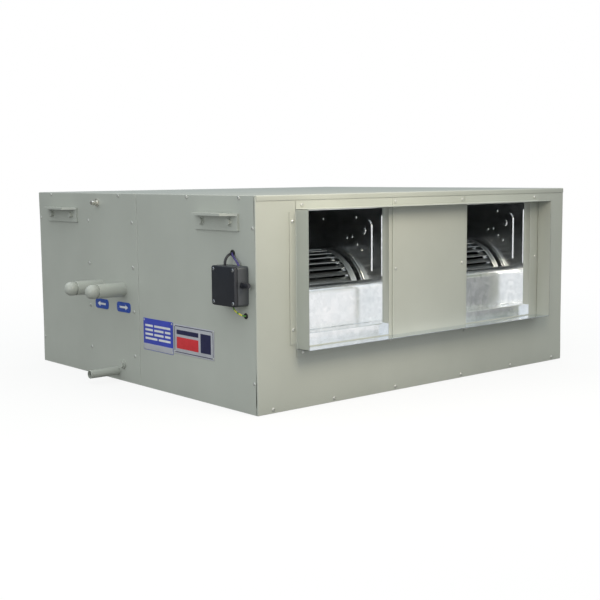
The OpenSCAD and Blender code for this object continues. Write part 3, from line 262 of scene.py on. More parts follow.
def slab(low, high, corner, edge, steps=4):
    """A block with rounded corners across X and rounded rims at its two ends: rounded rectangles
    whose inset follows a quarter circle at each end, closed by a middle point."""
    low, high = np.asarray(low, float), np.asarray(high, float)
    centre = (low + high) / 2
    quarter = np.linspace(0, np.pi / 2, steps + 1)
    inset = np.concatenate([edge * (1 - np.sin(quarter)), edge * (1 - np.sin(quarter[::-1]))])
    depth = edge * (1 - np.cos(quarter))
    run = np.concatenate([low[0] + depth, high[0] - depth[::-1]])
    flat = rounded((high - low)[1:] / 2, corner, inset) + centre[1:]
    points = np.concatenate([np.broadcast_to(run[:, None, None], (*flat.shape[:2], 1)), flat], axis=-1)
    ends = np.broadcast_to(centre, (2, flat.shape[1], 3)).copy()
    ends[..., 0] = run[[0, -1], None]
    return surface(np.concatenate([ends[:1], points, ends[1:]]), close_cols=True)


def prism(outline, middle, thick):
    """A thin plate on the left side: an outline of (y, z) pairs between two depths, closed
    by fans about its middle."""
    ring = np.asarray(outline, float)
    centre = np.repeat(np.asarray(middle, float)[None], len(ring), axis=0)
    rows = zip((centre, ring, ring, centre), (thick[0], thick[0], thick[1], thick[1]))
    points = np.stack([np.column_stack([np.full(len(ring), x), flat]) for flat, x in rows])
    return surface(points, close_cols=True)


def leaves(middle, offset, run):
    """Many thin leaves at once. Each is a line of points (leaf, point, xyz), thickened by the
    offset to both sides and carried along the run, closed all round."""
    near, far = middle - offset, middle + offset
    points = np.stack([near, near + run, far + run, far], axis=2)
    count, rows = points.shape[:2]
    base = surface(points[0], close_cols=True)[1]
    ends = np.array([[3, 2, 1, 0], np.arange(4) + 4 * (rows - 1)])
    faces = np.concatenate([base, ends])[None] + np.arange(count)[:, None, None] * 4 * rows
    return points.reshape(-1, 3), faces.reshape(-1, 4)


def clean(parts):
    """Parts joined into one mesh: points closer than a micron are merged, unused points go, and
    quads that lost a side become triangles."""
    counts = np.cumsum([0] + [len(verts) for verts, _ in parts])
    verts = np.concatenate([part[0] for part in parts])
    faces = np.concatenate([part[1] + shift for part, shift in zip(parts, counts)])
    keys = np.round(verts * 1e6).astype(np.int64)
    _, first, index = np.unique(keys, axis=0, return_index=True, return_inverse=True)
    used, faces = np.unique(index.reshape(-1)[faces], return_inverse=True)
    faces = faces.reshape(-1, 4)
    same = faces == np.roll(faces, -1, axis=1)
    lost = same.sum(axis=1)
    others = np.array([[1, 2, 3], [0, 2, 3], [0, 1, 3], [0, 1, 2]])
    thirds = np.take_along_axis(faces[lost == 1], others[same[lost == 1].argmax(axis=1)], axis=1)
    return verts[first][used], faces[lost == 0].tolist() + thirds.tolist()


def even_shading(obj):
    """Lets the large faces lead the shading, so that narrow edges don't bend it."""
    flat = obj.modifiers.new("Flat faces", "WEIGHTED_NORMAL")
    flat.keep_sharp = True


def piece(name, parts, material, body="casing", stands_for=(), wall=0.0, sharp=38):
    """Adds one finished piece. A sheet gets its wall inwards from its outer face; a closed piece
    has its normals turned outwards."""
    mesh = bpy.data.meshes.new(name)
    verts, faces = clean(parts)
    mesh.from_pydata(verts.tolist(), [], faces)
    if not wall:
        shell = bmesh.new()
        shell.from_mesh(mesh)
        bmesh.ops.recalc_face_normals(shell, faces=shell.faces)
        shell.to_mesh(mesh)
        shell.free()
    mesh.shade_smooth()
    mesh.set_sharp_from_angle(angle=math.radians(sharp))
    mesh.materials.append(material)
    obj = bpy.data.objects.new(name, mesh)
    bpy.context.scene.collection.objects.link(obj)
    if wall:
        thick = obj.modifiers.new("Sheet", "SOLIDIFY")
        thick.thickness = wall
        thick.offset = -1
        even_shading(obj)
    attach(obj, body)
    if stands_for:
        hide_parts(*stands_for)
    return obj


def dress(node, material, edge=0.0):
    """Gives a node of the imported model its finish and, where asked, rounded edges."""
    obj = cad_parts[node]
    obj.data.materials.clear()
    obj.data.materials.append(material)
    if edge:
        weld = obj.modifiers.new("Weld", "WELD")
        weld.merge_threshold = 0.01 * MM
        bevel = obj.modifiers.new("Edge", "BEVEL")
        bevel.width = edge
        bevel.segments = 2
        bevel.limit_method = "ANGLE"
        bevel.angle_limit = math.radians(40)
        even_shading(obj)


# Finishes

Base = namedtuple("Base", "material tree place tone bump shader")


def add(tree, kind, sockets=(), **settings):
    """Adds a node with its settings, and fills its sockets with values or with links."""
    node = tree.nodes.new(kind)
    for key, value in settings.items():
        setattr(node, key, value)
    for key, value in dict(sockets).items():
        if isinstance(value, bpy.types.NodeSocket):
            tree.links.new(value, node.inputs[key])
        else:
            node.inputs[key].default_value = value
    return node


def span(tree, value, start=0.0, end=1.0, low=0.0, high=1.0, step="LINEAR"):
    """A value carried over from the range start to end to the range low to high."""
    sockets = {"Value": value, "From Min": start, "From Max": end, "To Min": low, "To Max": high}
    return add(tree, "ShaderNodeMapRange", sockets, interpolation_type=step).outputs[0]


def ramp(tree, value, start, end, low=0.0, high=1.0):
    """A smooth step from low to high while the value goes from start to end."""
    return span(tree, value, start, end, low, high, "SMOOTHSTEP")


def blended(tree, share, first, second):
    """One colour that turns into another as the share grows."""
    return add(tree, "ShaderNodeMix", {0: share, 6: first, 7: second}, data_type="RGBA").outputs[2]


def figure(tree, operation, first, second):
    """Two values added, multiplied or compared."""
    return add(tree, "ShaderNodeMath", {0: first, 1: second}, operation=operation).outputs[0]


def noise(tree, place, size, detail):
    """Soft noise whose patches have the size, in millimetres."""
    sockets = {"Vector": place, "Scale": 1 / (size * MM), "Detail": detail}
    return add(tree, "ShaderNodeTexNoise", sockets).outputs["Fac"]


def mottled(name, tones, patch, rough, grain, depth, **fixed):
    """The base that the finishes share: two close tones in soft patches, a roughness that follows
    them and a fine grain as bump. Tones are colours or hex codes; patch, grain and depth are real
    sizes in millimetres."""
    material = bpy.data.materials.new(name)
    material.use_nodes = True
    tree = material.node_tree
    tree.nodes.clear()
    place = add(tree, "ShaderNodeTexCoord").outputs["Object"]
    spread = span(tree, noise(tree, place, patch, 4.0), 0.3, 0.7)
    tone = blended(tree, spread, *(linear(tone) if isinstance(tone, str) else tone for tone in tones))
    sheen = span(tree, spread, low=rough[0], high=rough[1])
    fine = noise(tree, place, grain, 2.0)
    bump = add(tree, "ShaderNodeBump", {"Height": fine, "Distance": depth * MM}).outputs[0]
    shader = add(tree, "ShaderNodeBsdfPrincipled", {"Base Color": tone, "Roughness": sheen, "Normal": bump})
    for socket, value in fixed.items():
        shader.inputs[socket.replace("_", " ")].default_value = value
    add(tree, "ShaderNodeOutputMaterial", {"Surface": shader.outputs[0]})
    return Base(material, tree, place, tone, bump, shader)


def feed(made, socket, value):
    """Links a value into a finish's shader."""
    made.tree.links.new(value, made.shader.inputs[socket])


def relief(made, height, depth):
    """Presses a further pattern over the grain of a finish; its depth is in millimetres."""
    ridge = add(made.tree, "ShaderNodeBump", {"Height": height, "Distance": depth * MM, "Normal": made.bump})
    feed(made, "Normal", ridge.outputs[0])
    return made.material


def colours():
    """The colours that the user may change."""
    return bpy.context.scene.fan_coil_colours


def dimmed(shade, share):
    """A colour with its three channels scaled by the share."""
    return (*(share * value for value in shade[:3]), 1.0)


def enamel(name):
    """Base of the sprayed and baked enamel, in its two tones."""
    return mottled(name, (colours().enamel, colours().enamel_dust), 170, (0.30, 0.40), 2.4, 0.018, IOR=1.5)


def stove_enamel():
    """Stove enamel on steel sheet, sprayed and baked: satin, with a fine orange peel and faint
    dusty patches."""
    return enamel("Stove enamel satin").material


def galvanised_sheet():
    """Hot-dip galvanised steel, skin-passed: bright and almost mirror-like, with faint zinc
    spangles of about 11 mm that differ a little in tone and gloss."""
    rough = (0.19, 0.25)
    made = mottled("Galvanised steel skin passed", ("#FBFCFD", "#F1F4F6"), 60, rough, 2.2, 0.001,
                   Metallic=1.0)
    cells = add(made.tree, "ShaderNodeTexVoronoi", {"Vector": made.place, "Scale": 1 / (11 * MM)})
    shade = add(made.tree, "ShaderNodeSeparateColor", {"Color": cells.outputs["Color"]}).outputs
    dim = span(made.tree, shade[0], high=0.3)
    feed(made, "Base Color", blended(made.tree, dim, made.tone, linear("#D8DDE0")))
    feed(made, "Roughness", span(made.tree, shade[1], low=rough[0], high=rough[1]))
    return made.material


def masked_enamel():
    """Stove enamel that stops at a mask: the level of the outlets' floor is left as bare zinc."""
    made = enamel("Stove enamel masked over zinc")
    bare = add(made.tree, "ShaderNodeBsdfPrincipled", {"Base Color": linear("#E6EBF0"), "Metallic": 1.0,
                                                       "Roughness": 0.24})
    height = add(made.tree, "ShaderNodeSeparateXYZ", {"Vector": made.place}).outputs["Z"]
    above = figure(made.tree, "GREATER_THAN", height, BARE_LOW)
    below = figure(made.tree, "LESS_THAN", height, BARE_TOP)
    level = figure(made.tree, "MULTIPLY", above, below)
    both = add(made.tree, "ShaderNodeMixShader", {0: level, 1: made.shader.outputs[0], 2: bare.outputs[0]})
    output = next(node for node in made.tree.nodes if node.bl_idname == "ShaderNodeOutputMaterial")
    made.tree.links.new(both.outputs[0], output.inputs["Surface"])
    return made.material


def rolled_blades():
    """Galvanised strip of the wheels, dulled by forming: grey zinc with a broad soft shine."""
    return mottled("Galvanised steel roll formed", ("#C6CBCC", "#AFB5B7"), 25, (0.34, 0.46), 1.6, 0.01,
                   Metallic=1.0).material


def zinc_plate():
    """Zinc-plated steel fasteners: pale metal with a slight haze."""
    return mottled("Zinc plated steel", ("#DADBD6", "#BFC0BB"), 4, (0.22, 0.40), 0.6, 0.01,
                   Metallic=0.45).material


def drawn_steel():
    """Bright drawn and ground steel of the shaft, rotor, bearings and lid screws."""
    return mottled("Bright drawn steel", ("#C4C6C8", "#A9ACAF"), 14, (0.16, 0.28), 0.5, 0.006,
                   Metallic=1.0).material


def motor_enamel():
    """Alkyd enamel on the motor's rolled shell and cast bells: dark, a little rough."""
    return mottled("Motor alkyd enamel", ("#33373A", "#292C2F"), 30, (0.38, 0.52), 1.4, 0.05,
                   IOR=1.5).material


def winding_wire():
    """Varnished copper windings: fine turns of wire, drawn at 3 mm so that they show."""
    made = mottled("Varnished copper winding", ("#A6572E", "#7C3C20"), 9, (0.28, 0.42), 1.0, 0.05,
                   Metallic=1.0)
    turns = add(made.tree, "ShaderNodeTexWave", {"Vector": made.place, "Scale": 1 / (3 * MM) / 3,
                                                 "Distortion": 1.5})
    return relief(made, turns.outputs["Fac"], 0.4)


def fin_foil():
    """Aluminium fin foil: thin, bright, lightly rolled."""
    return mottled("Aluminium fin foil", ("#E2E5E7", "#D3D8DB"), 45, (0.34, 0.46), 1.2, 0.01,
                   Metallic=0.45).material


def copper_tube():
    """Drawn copper tube with brown tarnish in soft patches."""
    return mottled("Drawn copper tube", ("#C4784F", "#8E4F33"), 26, (0.22, 0.42), 0.9, 0.01,
                   Metallic=1.0).material


def nickel_plate():
    """Nickel-plated brass of the air vent: mirror-like, slightly warm."""
    return mottled("Nickel plated brass", ("#ECEAE3", "#D9D6CD"), 8, (0.05, 0.10), 0.7, 0.004,
                   Metallic=1.0).material


def box_plastic():
    """Injection-moulded ABS of the terminal box's lid and gland: fine spark-eroded texture, drawn
    at 0.9 mm so that it shows."""
    return mottled("ABS moulded textured", (colours().box, dimmed(colours().box, 0.78)), 40, (0.34, 0.46),
                   0.9, 0.03, IOR=1.53).material


def wall_plastic_painted_lighter():
    """Injection-moulded ABS of the terminal box's wall, a little smoother than the lid. Its colour is
    painted lighter than the lid's near-black: painted light on the box's sides.
    """
    return mottled("ABS moulded painted lighter", ("#474A4F", "#3F4246"), 40, (0.34, 0.46), 0.9, 0.02,
                   IOR=1.53).material


def block_plastic():
    """Urea moulding of the terminal block: cream and a little glossy."""
    return mottled("Urea moulding cream", ("#DDD6C0", "#CFC7AF"), 20, (0.3, 0.4), 1.0, 0.01,
                   IOR=1.5).material


def rubber():
    """Moulded black rubber of grommets and motor rings: matt."""
    return mottled("Black rubber moulded", ("#222324", "#19191A"), 9, (0.6, 0.75), 0.7, 0.03,
                   IOR=1.52).material


def lead_sheath():
    """Extruded PVC sheath of the motor lead: near black with a soft shine."""
    return mottled("PVC sheath black", ("#24242B", "#1B1B20"), 15, (0.32, 0.44), 1.1, 0.01,
                   IOR=1.53).material


def core_sheath():
    """Extruded PVC of the lead's second strand: dull violet with a soft shine."""
    return mottled("PVC sheath violet", ("#4C4184", "#3C3469"), 15, (0.32, 0.44), 1.1, 0.01,
                   IOR=1.53).material


def earth_sheath():
    """Extruded PVC of the earth wire: yellow, with green stripes that show every 9 mm."""
    made = mottled("PVC sheath green and yellow", [colours().earth_yellow] * 2, 15, (0.32, 0.42), 1.1, 0.01,
                   IOR=1.53)
    bands = add(made.tree, "ShaderNodeTexWave", {"Vector": made.place, "Scale": 1 / (9 * MM) / 3},
                bands_direction="Y")
    striped = figure(made.tree, "GREATER_THAN", bands.outputs["Fac"], 0.72)
    feed(made, "Base Color", blended(made.tree, striped, made.tone, colours().earth_green))
    return made.material


def closed_foam():
    """Closed-cell foam sheet of the lining: matt dark grey with cells drawn at 2.5 mm."""
    made = mottled("Closed cell foam", ("#45494A", "#373A3B"), 50, (0.8, 0.92), 2.0, 0.2, IOR=1.45)
    cells = add(made.tree, "ShaderNodeTexVoronoi", {"Vector": made.place, "Scale": 1 / (2.5 * MM)})
    return relief(made, cells.outputs["Distance"], 0.5)


def filter_fleece():
    """Needled polyester fleece: off-white, matt, with crossing fibres drawn at 1.2 mm."""
    made = mottled("Polyester fleece needled", ("#DDE0DC", "#C4C9C5"), 12, (0.85, 0.95), 1.2, 0.35,
                   IOR=1.45, Sheen_Weight=0.3)
    lay = add(made.tree, "ShaderNodeMapping", {"Vector": made.place, "Scale": (0.15, 1.0, 1.0)})
    return relief(made, noise(made.tree, lay.outputs[0], 1.2, 5.0), 0.5)


def blue_anodised():
    """Anodised and dyed aluminium of the data plate: even blue with a fine brushed grain."""
    return mottled("Blue anodised aluminium", (colours().plate_blue, dimmed(colours().plate_blue, 0.85)), 25,
                   (0.3, 0.4), 0.8, 0.006, Metallic=0.1).material


def silver_anodised():
    """Satin anodised aluminium of the name plate: pale metal brushed along the casing."""
    made = mottled("Satin anodised aluminium", (colours().plate_silver, "#C4C5CD"), 30, (0.3, 0.42), 0.8,
                   0.004, Metallic=0.3)
    lay = add(made.tree, "ShaderNodeMapping", {"Vector": made.place, "Scale": (1.0, 0.02, 1.0)})
    return relief(made, noise(made.tree, lay.outputs[0], 0.7, 2.0), 0.01)


def ink(name, shade):
    """Screen-printed ink: a thin even film with a slight dulling."""
    return mottled(name, (shade, dimmed(shade, 0.88)), 14, (0.35, 0.48), 0.9, 0.006, IOR=1.5).material


def white_ink():
    """White screen ink of the blank fields and the arrows."""
    return ink("White screen ink", linear("#E9EAEC"))


def red_ink():
    """Red screen ink of the name plate's wide bar."""
    return ink("Red screen ink", colours().ink_red)


def navy_ink():
    """Navy screen ink of the name plate's border and dark bars."""
    return ink("Navy screen ink", colours().ink_navy)


def label_film():
    """Printed vinyl film of the flow labels: blue with a soft gloss."""
    return mottled("Blue vinyl film", ("#2F55B8", "#27489E"), 12, (0.25, 0.35), 1.2, 0.008,
                   IOR=1.5).material


MADE = {}


def finish(maker):
    """The material of a maker function, made once."""
    if maker not in MADE:
        MADE[maker] = maker()
    return MADE[maker]


# Stage

EYE = (-1.8423, -2.16405, 0.49185)
YAW, PITCH, ROLL = 40.4, 6.67, 0.49
LENS, SENSOR = 64.64, 36.0
FLOOR_HALF = 30.0
BOUNCE = 0.12
WHITE = (1.0, 1.0, 1.0, 1.0)


def placed(name, data, axes, place):
    """Adds a stage object at a place, turned so that its axes are the columns given."""
    obj = bpy.data.objects.new(name, data)
    obj.matrix_world = Matrix([[*row, spot] for row, spot in zip(axes, place)] + [[0, 0, 0, 1]])
    bpy.context.scene.collection.objects.link(obj)
    return obj


def camera():
    """A camera at the fitted place: it looks along the yaw, down by the pitch, turned by the roll."""
    yaw, pitch, roll = np.radians([YAW, PITCH, ROLL])
    ahead = np.array([np.sin(yaw) * np.cos(pitch), np.cos(yaw) * np.cos(pitch), -np.sin(pitch)])
    level = np.array([np.cos(yaw), -np.sin(yaw), 0.0])
    down = np.cross(ahead, level)
    right = np.cos(roll) * level + np.sin(roll) * down
    up = np.sin(roll) * level - np.cos(roll) * down
    view = bpy.data.cameras.new("Camera")
    view.lens = LENS
    view.sensor_width = SENSOR
    bpy.context.scene.camera = placed("Camera", view, np.column_stack([right, up, -ahead]), EYE)


def floor():
    """A pale floor under the unit: it keeps a soft shadow near the unit and fades to white. Light
    that it throws back is weaker, and shiny pieces mirror it white to the front left only."""
    half = FLOOR_HALF
    corners = [(-half, -half, 0), (half, -half, 0), (half, half, 0), (-half, half, 0)]
    mesh = bpy.data.meshes.new("Floor")
    mesh.from_pydata(corners, [], [(0, 1, 2, 3)])
    obj = bpy.data.objects.new("Floor", mesh)
    bpy.context.scene.collection.objects.link(obj)
    material = bpy.data.materials.new("Studio floor paper")
    material.use_nodes = True
    tree = material.node_tree
    tree.nodes.clear()
    place = add(tree, "ShaderNodeTexCoord").outputs["Object"]
    reach = add(tree, "ShaderNodeVectorMath", {0: place}, operation="LENGTH").outputs["Value"]
    fade = ramp(tree, reach, 0.8, 2.2, 0.84, 1.0)
    path = add(tree, "ShaderNodeLightPath").outputs
    axes = add(tree, "ShaderNodeSeparateXYZ", {"Vector": place}).outputs
    turn = figure(tree, "ADD", axes["X"], axes["Y"])
    front = figure(tree, "MULTIPLY", ramp(tree, axes["Y"], -0.45, -0.75), ramp(tree, turn, -0.1, -0.5))
    mirrored = figure(tree, "MULTIPLY", front, path["Is Glossy Ray"])
    shown = figure(tree, "MAXIMUM", mirrored, path["Is Camera Ray"])
    share = figure(tree, "MULTIPLY", fade, figure(tree, "MAXIMUM", shown, BOUNCE))
    tone = blended(tree, path["Is Camera Ray"], linear("#666664"), linear("#EDEDEB"))
    paper = add(tree, "ShaderNodeBsdfDiffuse", {"Color": tone})
    white = add(tree, "ShaderNodeEmission", {"Color": WHITE})
    both = add(tree, "ShaderNodeMixShader", {0: share, 1: paper.outputs[0], 2: white.outputs[0]})
    add(tree, "ShaderNodeOutputMaterial", {"Surface": both.outputs[0]})
    mesh.materials.append(material)


def surroundings(tree, axes):
    """What shiny surfaces mirror, by the direction of the ray: white in front with a darker patch to
    its right, grey blue behind, and a bright sky above."""
    turn = figure(tree, "ADD", axes["X"], axes["Y"])
    ahead = blended(tree, ramp(tree, turn, 0.0, 0.09), (1.0, 1.0, 0.99, 1.0), linear("#7A806F"))
    around = blended(tree, ramp(tree, axes["Y"], 0.25, -0.2), linear("#66717C"), ahead)
    return blended(tree, ramp(tree, axes["Z"], 0.35, 0.75), around, (1.15, 1.22, 1.3, 1.0))


def lamp(name, place, target, size, energy, shade):
    """A square lamp at a place, turned towards its target."""
    light = bpy.data.lights.new(name, "AREA")
    light.size = size
    light.energy = energy
    light.color = shade
    look = np.array(place) - np.array(target)
    look /= np.linalg.norm(look)
    flat = np.cross((0, 0, 1), look)
    flat /= np.linalg.norm(flat)
    obj = placed(name, light, np.column_stack([flat, np.cross(look, flat), look]), place)
    obj.visible_camera = False


def lights():
    """A cool sky that is brightest overhead, a warm key lamp before the upper left of the outlet
    face and a weak cool fill on the left side."""
    world = bpy.data.worlds.new("Soft studio")
    bpy.context.scene.world = world
    world.use_nodes = True
    tree = world.node_tree
    tree.nodes.clear()
    path = add(tree, "ShaderNodeLightPath").outputs
    ray = add(tree, "ShaderNodeTexCoord").outputs["Generated"]
    axes = add(tree, "ShaderNodeSeparateXYZ", {"Vector": ray}).outputs
    height = span(tree, axes["Z"], low=0.67, high=1.27)
    skies = (((0.95, 1.0, 1.0, 1.0), height), (surroundings(tree, axes), 1.0), (WHITE, 1.0))
    soft, mirror, white = [
        add(tree, "ShaderNodeBackground", {"Color": shade, "Strength": strength}).outputs[0]
        for shade, strength in skies]
    shiny = add(tree, "ShaderNodeMixShader", {0: path["Is Glossy Ray"], 1: soft, 2: mirror})
    both = add(tree, "ShaderNodeMixShader", {0: path["Is Camera Ray"], 1: shiny.outputs[0], 2: white})
    add(tree, "ShaderNodeOutputWorld", {"Surface": both.outputs[0]})
    lamp("Key", (-0.36, -1.1, 0.82), (-0.36, -0.46, 0.33), 0.4, 4.3, (1.0, 0.88, 0.68))
    lamp("Side fill", (-1.7, -0.75, 0.5), (-0.45, -0.4, 0.25), 0.6, 2.3, (0.92, 0.98, 1.0))


class FANCOIL_OT_stage(bpy.types.Operator):
    """Camera, lamps, world and floor"""
    bl_idname = "fan_coil.stage"
    bl_label = "Stage"

    def execute(self, context):
        context.scene.view_settings.view_transform = "Standard"
        camera()
        floor()
        lights()
        return {"FINISHED"}


# Cords: their routes as (out of the panel, towards the rear, up from the hole) in millimetres

LEAD_ROUTE = [(-8, 0, 0), (0, 0, 0), (6, 0, -1), (12, 0, -4), (17, 0, -9), (20, 0, -15), (21, 0, -22),
              (21, 0, -28)]
EARTH_ROUTE = [(-8, 0, 0), (0, 0, 0), (5, 1, 0.5), (10, 4, 2.5), (14, 9, 6), (17, 15, 11), (18, 19, 17),
               (18, 19, 25)]
CORE_ROUTE = [(-8, 0, 0), (0, 0, 0), (4, -3, -1), (7, -9, -5), (8, -18, -12), (8, -26, -19), (8, -31, -26)]
CORE_R = 2.2 * MM
HOLE_AT = 8
LEAD_RISE = 24 * MM
EARTH_DROP = 21 * MM


def cord_path(node, route, level):
    """Middle line of a cord from its route, with its radius. Its hole is where the route starts."""
    low, high = BOX[node][:, 1]
    out, back, up = smooth(np.array(route) * MM).T
    radius = (high - low - np.ptp(back)) / 2
    return np.column_stack([LEFT - out, low + radius + back, level + up]), radius


def cord_paths():
    """Middle lines and radii of the motor lead and the earth wire."""
    low, high = BOX["terminal_box"][:, 2]
    return (cord_path("motor_lead", LEAD_ROUTE, high + LEAD_RISE),
            cord_path("earth_wire", EARTH_ROUTE, low - EARTH_DROP))


class FANCOIL_OT_cords(bpy.types.Operator):
    """Motor lead with its second strand and earth wire, held between terminal box and casing"""
    bl_idname = "fan_coil.cords"
    bl_label = "Cords"

    def execute(self, context):
        (lead, lead_r), (earth, earth_r) = cord_paths()
        core = lead[HOLE_AT] + smooth(np.array(CORE_ROUTE) * MM) * (-1, 1, 1)
        piece("motor_lead_sheath", [tube(lead, lead_r)], finish(lead_sheath),
              stands_for=["motor_lead"])
        piece("motor_lead_core", [tube(core, CORE_R)], finish(core_sheath))
        piece("earth_wire_sheath", [tube(earth, earth_r)], finish(earth_sheath),
              stands_for=["earth_wire"])
        return {"FINISHED"}


# Casing

SIDE_SEAM = 3.8 * MM
CORNER_RETURN, EDGE_STEP, EDGE_START, EDGE_END = 3 * MM, 1.5 * MM, 3.5 * MM, 20 * MM
FLANGE = 16 * MM
DRAIN_ROOM = 12 * MM
RUN_OUT = 95 * MM
LIP_FIT = 0.1 * MM
LID_EXTRA = 0.18 * MM
FILTER_GAP, FILTER_RIM, FILTER_COVER = 1.2 * MM, 3 * MM, 7 * MM


def lines(start, end, count, *more):
    """Grid lines from start to end, with further ones where an edge has to fall."""
    return np.unique(np.round(np.concatenate([np.linspace(start, end, count), *map(np.ravel, more)]), 7))


def between(values, low, high):
    """Which middles of neighbouring values lie between two limits."""
    middle = (values[1:] + values[:-1]) / 2
    return (middle > low) & (middle < high)


def dish(depth, across, up):
    """Inward dish of a sheet: depth times a half sine across and a half sine up."""
    first = np.sin(np.pi * np.clip((across - across.min()) / np.ptp(across), 0, 1))
    second = np.sin(np.pi * (up - up.min()) / np.ptp(up))
    return depth * first[:, None] * second[None, :]


def run_out(past):
    """How far a panel stands out to cover a lip: a smooth step, by how far each height is past the
    lip's edge."""
    share = np.clip(past / RUN_OUT + 1, 0, 1)
    return (LIP_X - RIGHT) * share ** 2 * (3 - 2 * share)


def front_sheet(sizes):
    """Front sheet: an outline in X and Y with rounded corners and stepped edges, carried up Z, with
    the two outlets left open."""
    half = OUTLET_HALF + CUT_MARGIN
    cuts = np.array([x + side * half for x in BLOWER_X for side in (-1, 1)])
    corner = fold([(0, FRONT), (RIGHT, FRONT), (RIGHT, FRONT + CORNER_RETURN)], sizes.bend)[1:]
    edge = [(RIGHT - EDGE_STEP, FRONT + EDGE_START), (RIGHT - EDGE_STEP, FRONT + EDGE_END)]
    tail = np.concatenate([corner, edge])
    flat = lines(-tail[0, 0] + EDGE_STEP, tail[0, 0] - EDGE_STEP, 33, cuts)
    face = np.column_stack([flat, np.full(len(flat), FRONT)])
    profile = np.concatenate([(tail * (-1, 1))[::-1], face, tail])
    up = lines(PANEL_LOW, PANEL_TOP, 17, [CUT_LOW, OUTLET_TOP + CUT_MARGIN])
    points = extrude(profile, up, "xyz")
    points[..., 1] += dish(sizes.sag, profile[:, 0], up) - run_out(BASE_LIP - up)
    inside = np.zeros(len(profile) - 1, bool)
    for x in BLOWER_X:
        inside |= between(profile[:, 0], x - half, x + half)
    open_rows = between(up, CUT_LOW, OUTLET_TOP + CUT_MARGIN)
    return facing(surface(points, ~(inside[:, None] & open_rows[None, :])), (0, -1, 0))


def side_sheet(sizes, side, start, end, seam_first, slot=None):
    """Side sheet: a flat run along Y whose seam edge is folded inwards, carried up Z. slot is an
    opening left in it, as (y, y, z, z)."""
    face = LEFT if side < 0 else RIGHT
    deep = face - side * FLANGE
    corner = fold([(deep, 0), (face, 0), (face, 2 * FLANGE)], sizes.seam_bend)[:-1]
    bend_end = corner[-1, 1]
    cuts = [] if slot is None else slot[:2]
    if seam_first:
        corner[:, 1] += start
        along = lines(start + bend_end + MM, end, 17, cuts)
        profile = np.concatenate([corner, np.column_stack([np.full(len(along), face), along])])
    else:
        corner[:, 1] = end - corner[:, 1]
        along = lines(start, end - bend_end - MM, 17, cuts)
        profile = np.concatenate([np.column_stack([np.full(len(along), face), along]), corner[::-1]])
    up = lines(PANEL_LOW, PANEL_TOP, 15, [] if slot is None else slot[2:])
    points = extrude(profile, up, "xyz")
    inwards = dish(sizes.sag, profile[:, 1], up) - run_out(BASE_LIP - up) - run_out(up - TOP_LIP)
    points[..., 0] -= side * inwards
    keep = None
    if slot is not None:
        keep = ~(between(profile[:, 1], *slot[:2])[:, None] & between(up, *slot[2:])[None, :])
    return facing(surface(points, keep), (side, 0, 0))


def lid_profile(reach, face, lip, radius, inner, notch=()):
    """Places and heights across a lid: up the lip, round the fold, over the flat and down again."""
    edge = fold([(0, face), (reach, face), (reach, lip)], radius)[1:]
    if len(notch):
        edge = np.concatenate([edge[:-1], np.column_stack([np.full(len(notch), reach), notch]), edge[-1:]])
    place = np.concatenate([-edge[::-1, 0], inner, edge[:, 0]])
    height = np.concatenate([edge[::-1, 1], np.full(len(inner), face), edge[:, 1]])
    return place, height


def lid_sheet(sizes, face, lip, inset, notch_y=(), notch_z=0.0):
    """Tray or cover: heights across X and across Y added together, so that each side folds, with
    the corners cut out as on a folded blank. inset moves the lips inwards in X and in Y, and notch_y
    leaves a gap in the left lip past notch_z."""
    reach_x, reach_y = LIP_X - inset[0], LIP_Y - inset[1]
    x_flat = lines(-reach_x + 2 * sizes.bend, reach_x - 2 * sizes.bend, 25)
    y_flat = lines(-reach_y + 2 * sizes.bend, reach_y - 2 * sizes.bend, 23, np.array(notch_y))
    x, x_height = lid_profile(reach_x, face, lip, sizes.bend, x_flat, [notch_z] if len(notch_y) else ())
    y, y_height = lid_profile(reach_y, face, lip, sizes.bend, y_flat)
    points = np.empty((len(x), len(y), 3))
    points[..., 0] = x[:, None]
    points[..., 1] = y[None, :]
    points[..., 2] = x_height[:, None] + y_height[None, :] - face
    points[1:-1, 1:-1, 2] += (dish(sizes.sag, x, y) * np.sign(lip - face))[1:-1, 1:-1]
    drop_x = np.abs((x_height[1:] + x_height[:-1]) / 2 - face) > 1e-6
    drop_y = np.abs((y_height[1:] + y_height[:-1]) / 2 - face) > 1e-6
    keep = ~(drop_x[:, None] & drop_y[None, :])
    if len(notch_y):
        past = ((x_height[1:] + x_height[:-1]) / 2 > notch_z) & (x[1:] < 0)
        keep &= ~(past[:, None] & between(y, *notch_y)[None, :])
    return facing(surface(points, keep), (0, 0, face - lip))


